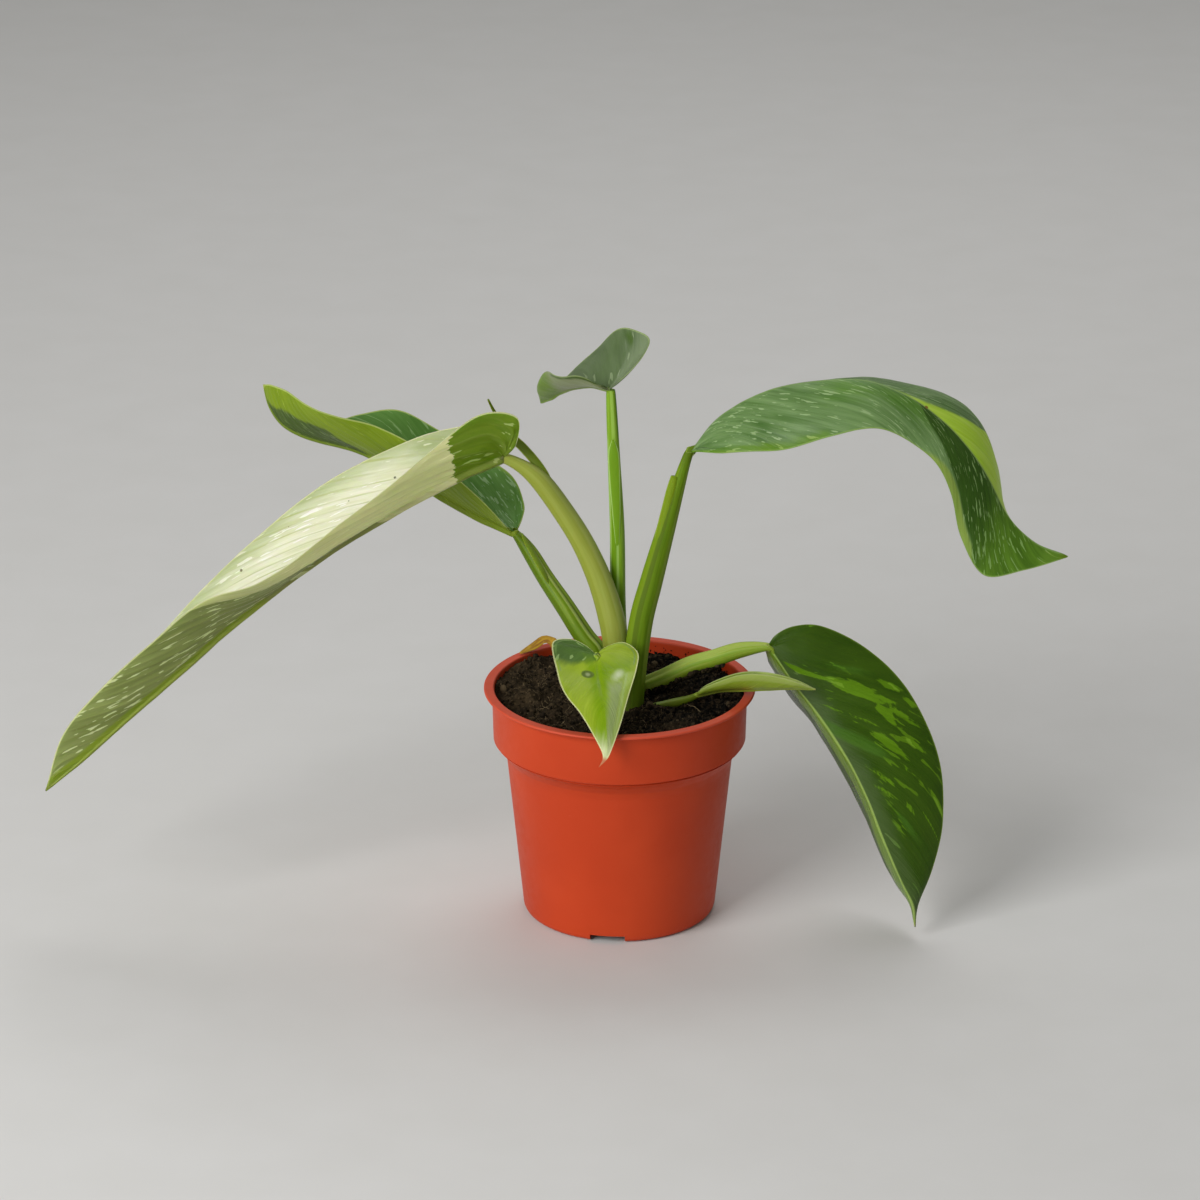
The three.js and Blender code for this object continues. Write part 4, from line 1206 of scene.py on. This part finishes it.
def loose_bits():
    """The crumbs, grains and root threads."""
    random = np.random.default_rng(5)
    for _ in range(CRUMBS):
        x, y = anywhere(random, SOIL_EDGE - 0.5)
        yield crumb(random, x, y, 0.4 + 1.3 * random.uniform(0, 1) ** 3)
    for _ in range(GRAINS):
        x, y = anywhere(random, SOIL_EDGE - 0.4)
        yield crumb(random, x, y, random.uniform(0.28, 0.75), shape=GRAIN)
    low_stalk = through(LEAVES["low_right"]["route"])
    for _ in range(STUCK_CRUMBS):
        place = random.uniform(2.8, 6.3)
        x, y, z = low_stalk(place)[0]
        turn, size = random.uniform(0.12 * place, 1.35), random.uniform(0.6, 1.2)
        y, z = y - STALK_REACH * math.cos(turn), z - STALK_REACH * math.sin(turn)
        yield crumb(random, x + 1.5 * math.sin(turn), y, size, z)
    for _ in range(WALL_CRUMBS):
        turn, z = random.uniform(0.3, 1.4), WALL_CRUMB_HEIGHT + 2.4 * random.uniform(0, 1) ** 3
        x, y = (SOIL_EDGE + 0.1) * math.cos(turn), (SOIL_EDGE + 0.1) * math.sin(turn)
        yield crumb(random, x, y, random.uniform(0.2, 0.45), z, GRAIN)
    for _ in range(FIBRES):
        x, y = anywhere(random, SOIL_EDGE - 8)
        length, radius = random.uniform(2, 6), random.uniform(0.06, 0.14)
        tone = random.uniform(0, 1) ** 1.3 * smooth(3 - x, -45, 5)
        yield fibre(random, x - 3, y, length, radius, tone)
    yield fibre(random, 26.5, -9, 11, 0.25, 0.9)


def soil_material():
    paint = Paint("soil")
    tone, is_fibre, _ = paint.values("stalk")
    grain = paint.noise(paint.place(), 600.0, 5.0, 0.7)
    patches = paint.noise(paint.place(), 55.0, 3.0)
    left = paint.step(paint.apart(paint.place())[0], 0.02, -0.04)
    paint.base("080705", "423626", paint.step(grain, 0.46, 0.66))
    browner = paint.sum(left, 0.22, paint.times(paint.step(patches, 0.5, 0.75), 0.3))
    paint.coat("5c4c36", browner)
    paint.coat("0a0907", paint.step(tone, 0.5, 0.0), 0.7)
    paint.coat("60523c", paint.step(tone, 0.8, 1.0), 0.5)
    paint.coat(paint.mix("2c251a", "7a6a50", paint.step(tone, 0.0, 1.0)), is_fibre)
    paint.bump(grain, 0.6, 0.8)
    return paint.finish(0.95, 0.08)


def make_soil():
    points, faces, facts = joined(soil_body(), *loose_bits())
    return make_piece("soil_peat", points, faces, soil_material(), {"stalk": facts})


# Pot
def rounded(profile, radius, steps=4):
    """The profile with each of its inner corners turned into a short arc."""
    points = [np.array(profile[0], float)]
    for before, corner, after in zip(profile, profile[1:], profile[2:]):
        corner = np.array(corner, float)
        into, onto = np.array(before) - corner, np.array(after) - corner
        cut_back = min(radius, 0.45 * np.linalg.norm(into), 0.45 * np.linalg.norm(onto))
        start, end = corner + unit(into) * cut_back, corner + unit(onto) * cut_back
        for t in np.linspace(0, 1, steps + 1):
            points.append((1 - t) ** 2 * start + 2 * t * (1 - t) * corner + t**2 * end)
    points.append(np.array(profile[-1], float))
    return np.array(points)


def pot_profile():
    collar_top = RIM_RADIUS - LIP_WIDTH
    collar_foot = collar_top - COLLAR_TAPER
    lip_foot = POT_HEIGHT - LIP_THICKNESS
    collar_low = POT_HEIGHT - COLLAR_DEPTH
    step_low = collar_low - STEP_DEPTH
    step_width = collar_foot - BODY_TOP_RADIUS
    foot = [(FOOT_RADIUS - inset, height) for inset, height in FOOT_ROUND]
    step = [
        (BODY_TOP_RADIUS + across * step_width, step_low + up * STEP_DEPTH)
        for across, up in STEP_CURVE
    ]
    inner_step = [(collar_foot, collar_low), *reversed(step)]
    return [
        (0, 0), *foot, (BODY_TOP_RADIUS, step_low), *step,
        (collar_foot - LEDGE, collar_low - GROOVE_HEIGHT),
        (collar_foot - LEDGE - GROOVE_CUT, collar_low - GROOVE_HEIGHT + 0.05),
        (collar_foot - LEDGE - GROOVE_CUT, collar_low), (collar_foot - 0.1, collar_low),
        (collar_foot, collar_low + 0.15), (collar_top, lip_foot),
        (RIM_RADIUS - LIP_BEVEL, lip_foot), (RIM_RADIUS, lip_foot + LIP_BEVEL),
        (RIM_RADIUS, POT_HEIGHT - LIP_BEVEL), (RIM_RADIUS - LIP_BEVEL, POT_HEIGHT),
        (collar_top - WALL + LIP_BEVEL, POT_HEIGHT), (collar_top - WALL, POT_HEIGHT - LIP_BEVEL),
        *[(radius - WALL, height + STEP_RISE) for radius, height in inner_step],
        (BODY_TOP_RADIUS - WALL, step_low), (FOOT_RADIUS - WALL, FLOOR_THICKNESS + FLOOR_ROUND),
        (FOOT_RADIUS - WALL - FLOOR_ROUND, FLOOR_THICKNESS), (0, FLOOR_THICKNESS),
    ]


def lathe(profile, segments):
    """Points and faces of a closed turned body whose profile starts and ends on the axis."""
    rings = [ring(*spot, segments) for spot in profile[1:-1]]
    points = np.vstack([*rings, [(0, 0, profile[0][1]), (0, 0, profile[-1][1])]])
    foot, head = len(points) - 2, len(points) - 1
    faces = tube_wall(len(rings), segments)
    top = foot - segments
    for j in range(segments):
        faces.append((foot, (j + 1) % segments, j))
        faces.append((head, top + j, top + (j + 1) % segments))
    return points, faces


def pot_material():
    paint = Paint("pot_plastic")
    clouds = paint.noise(paint.place(), 18.0, 3.0)
    scuffs = paint.noise(paint.place(), 240.0, 4.0, 0.7)
    paint.base("ba3c18", "c4431d", paint.step(clouds, 0.35, 0.65))
    paint.coat("ce5e44", paint.step(scuffs, 0.66, 0.8), 0.3)
    height = paint.apart(paint.place())[2]
    # Painted highlight: the top of the lip is lighter and pinker.
    top = paint.step(height, (POT_HEIGHT - 1.6) * MM, (POT_HEIGHT - 0.3) * MM)
    paint.coat("d05c48", top, 0.4)
    paint.bump(paint.sum(scuffs, 0.4, clouds), 0.06, 0.35)
    rough = paint.step(scuffs, 0.3, 0.75, 0.42, 0.54)
    return paint.finish(rough, 0.2, Subsurface_Weight=0.05, Subsurface_Scale=0.002)


def cut(piece, points, faces):
    """Takes a closed solid away from the piece."""
    tool = make_piece("cutter", points, faces, piece.data.materials[0])
    modifier = piece.modifiers.new("cut", "BOOLEAN")
    modifier.operation = "DIFFERENCE"
    modifier.solver = "EXACT"
    modifier.object = tool
    whole = bpy.data.meshes.new_from_object(
        piece.evaluated_get(bpy.context.evaluated_depsgraph_get())
    )
    piece.modifiers.remove(modifier)
    piece.data = whole
    bpy.data.objects.remove(tool)


def make_pot():
    points, faces = lathe(rounded(pot_profile(), CORNER_ROUND), POT_SEGMENTS)
    piece = make_piece("pot_body", points, faces, pot_material())
    reach = (FOOT_RADIUS - NOTCH_REACH, FOOT_RADIUS + NOTCH_REACH)
    sides = (-NOTCH_WIDTH / 2, NOTCH_WIDTH / 2)
    notch = np.array(list(itertools.product(reach, sides, (-NOTCH_HEIGHT, NOTCH_HEIGHT))))
    notch_faces = [
        (0, 1, 3, 2), (4, 6, 7, 5), (0, 4, 5, 1), (2, 3, 7, 6), (0, 2, 6, 4), (1, 5, 7, 3),
    ]
    drain = np.vstack([ring(DRAIN_RADIUS, z, DRAIN_SIDES) for z in (-2, 4)])
    drain = drain + (DRAIN_CIRCLE, 0, 0)
    for i in range(NOTCH_COUNT):
        angle = math.radians(NOTCH_ANGLE + 360 * i / NOTCH_COUNT)
        cut(piece, turned(notch, angle), notch_faces)
        cut(piece, turned(drain, angle + math.pi / NOTCH_COUNT), tube_faces(2, DRAIN_SIDES))
    piece.data.set_sharp_from_angle(angle=math.radians(40))
    return piece


def root_material():
    paint = Paint("root_bark")
    grain = paint.noise(paint.place(), 300.0, 4.0, 0.65)
    paint.bump(grain, 0.4, 0.6)
    paint.base("967c54", "c4ac80", paint.step(grain, 0.35, 0.65))
    return paint.finish(0.85, 0.5)


# Studio
def make_studio():
    scene = bpy.context.scene
    scene.view_settings.view_transform = "Standard"
    camera = bpy.data.objects.new("camera", bpy.data.cameras.new("camera"))
    scene.collection.objects.link(camera)
    camera.data.lens = LENS
    camera.data.sensor_width = SENSOR
    back = Vector((0, -math.cos(PITCH), math.sin(PITCH)))
    camera.location = (Vector(CAMERA_TARGET) + CAMERA_DISTANCE * back) * MM
    camera.rotation_euler = (math.pi / 2 - PITCH, 0, 0)
    scene.camera = camera

    paint = Paint("floor")
    paint.base("cecdca", "d3d2d0", paint.noise(paint.place(), 30.0, 3.0))
    turns = ((-1, -1), (1, -1), (1, 1), (-1, 1))
    corners = [(x * FLOOR_HALF, y * FLOOR_HALF, 0) for x, y in turns]
    floor = make_piece("floor", corners, [(0, 1, 2, 3)], paint.finish(0.9, 0.2))
    floor.location.z = -FLOOR_DROP * MM
    floor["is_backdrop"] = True

    scene.world = bpy.data.worlds.new("studio")
    scene.world.use_nodes = True
    sky = scene.world.node_tree.nodes["Background"].inputs
    sky["Color"].default_value = (1, 1, 0.98, 1)
    sky["Strength"].default_value = SKY_STRENGTH
    for name, place, size, power in LAMPS:
        lamp = bpy.data.lights.new(name, "AREA")
        lamp.energy = power
        lamp.size = size * MM
        light = bpy.data.objects.new(name, lamp)
        scene.collection.objects.link(light)
        light.location = Vector(place) * MM
        aim = Vector(LAMP_TARGET) * MM - light.location
        light.rotation_euler = aim.to_track_quat("-Z", "Y").to_euler()


LEAF_SLOTS = {
    "left": "leaf_cream", "back_left": "leaf_green", "centre": "leaf_grey_green",
    "right": "leaf_green", "low_right": "leaf_dark", "front": "leaf_light", "new": "leaf_light",
}
PETIOLE_SLOTS = {
    "left": "petiole_pale", "back_left": "petiole_green", "centre": "petiole_green",
    "right": "petiole_green", "low_right": "petiole_light", "front": "petiole_light",
    "new": "petiole_light",
}

make_studio()
for key in LEAVES:
    settle(make_blade(key), LEAF_SLOTS[key], f"blade_{key}")
    settle(make_petiole(key), PETIOLE_SLOTS[key], f"petiole_{key}")
settle(make_withered(), "withered", "withered_leaf")
settle(make_soil(), "soil", "soil")
settle(make_pot(), "pot", "pot")
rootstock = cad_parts["rootstock"]
rootstock.data.materials.clear()
rootstock.data.materials.append(root_material())

boxes = [[list(corner) for corner in box] for box in (cad_box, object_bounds())]
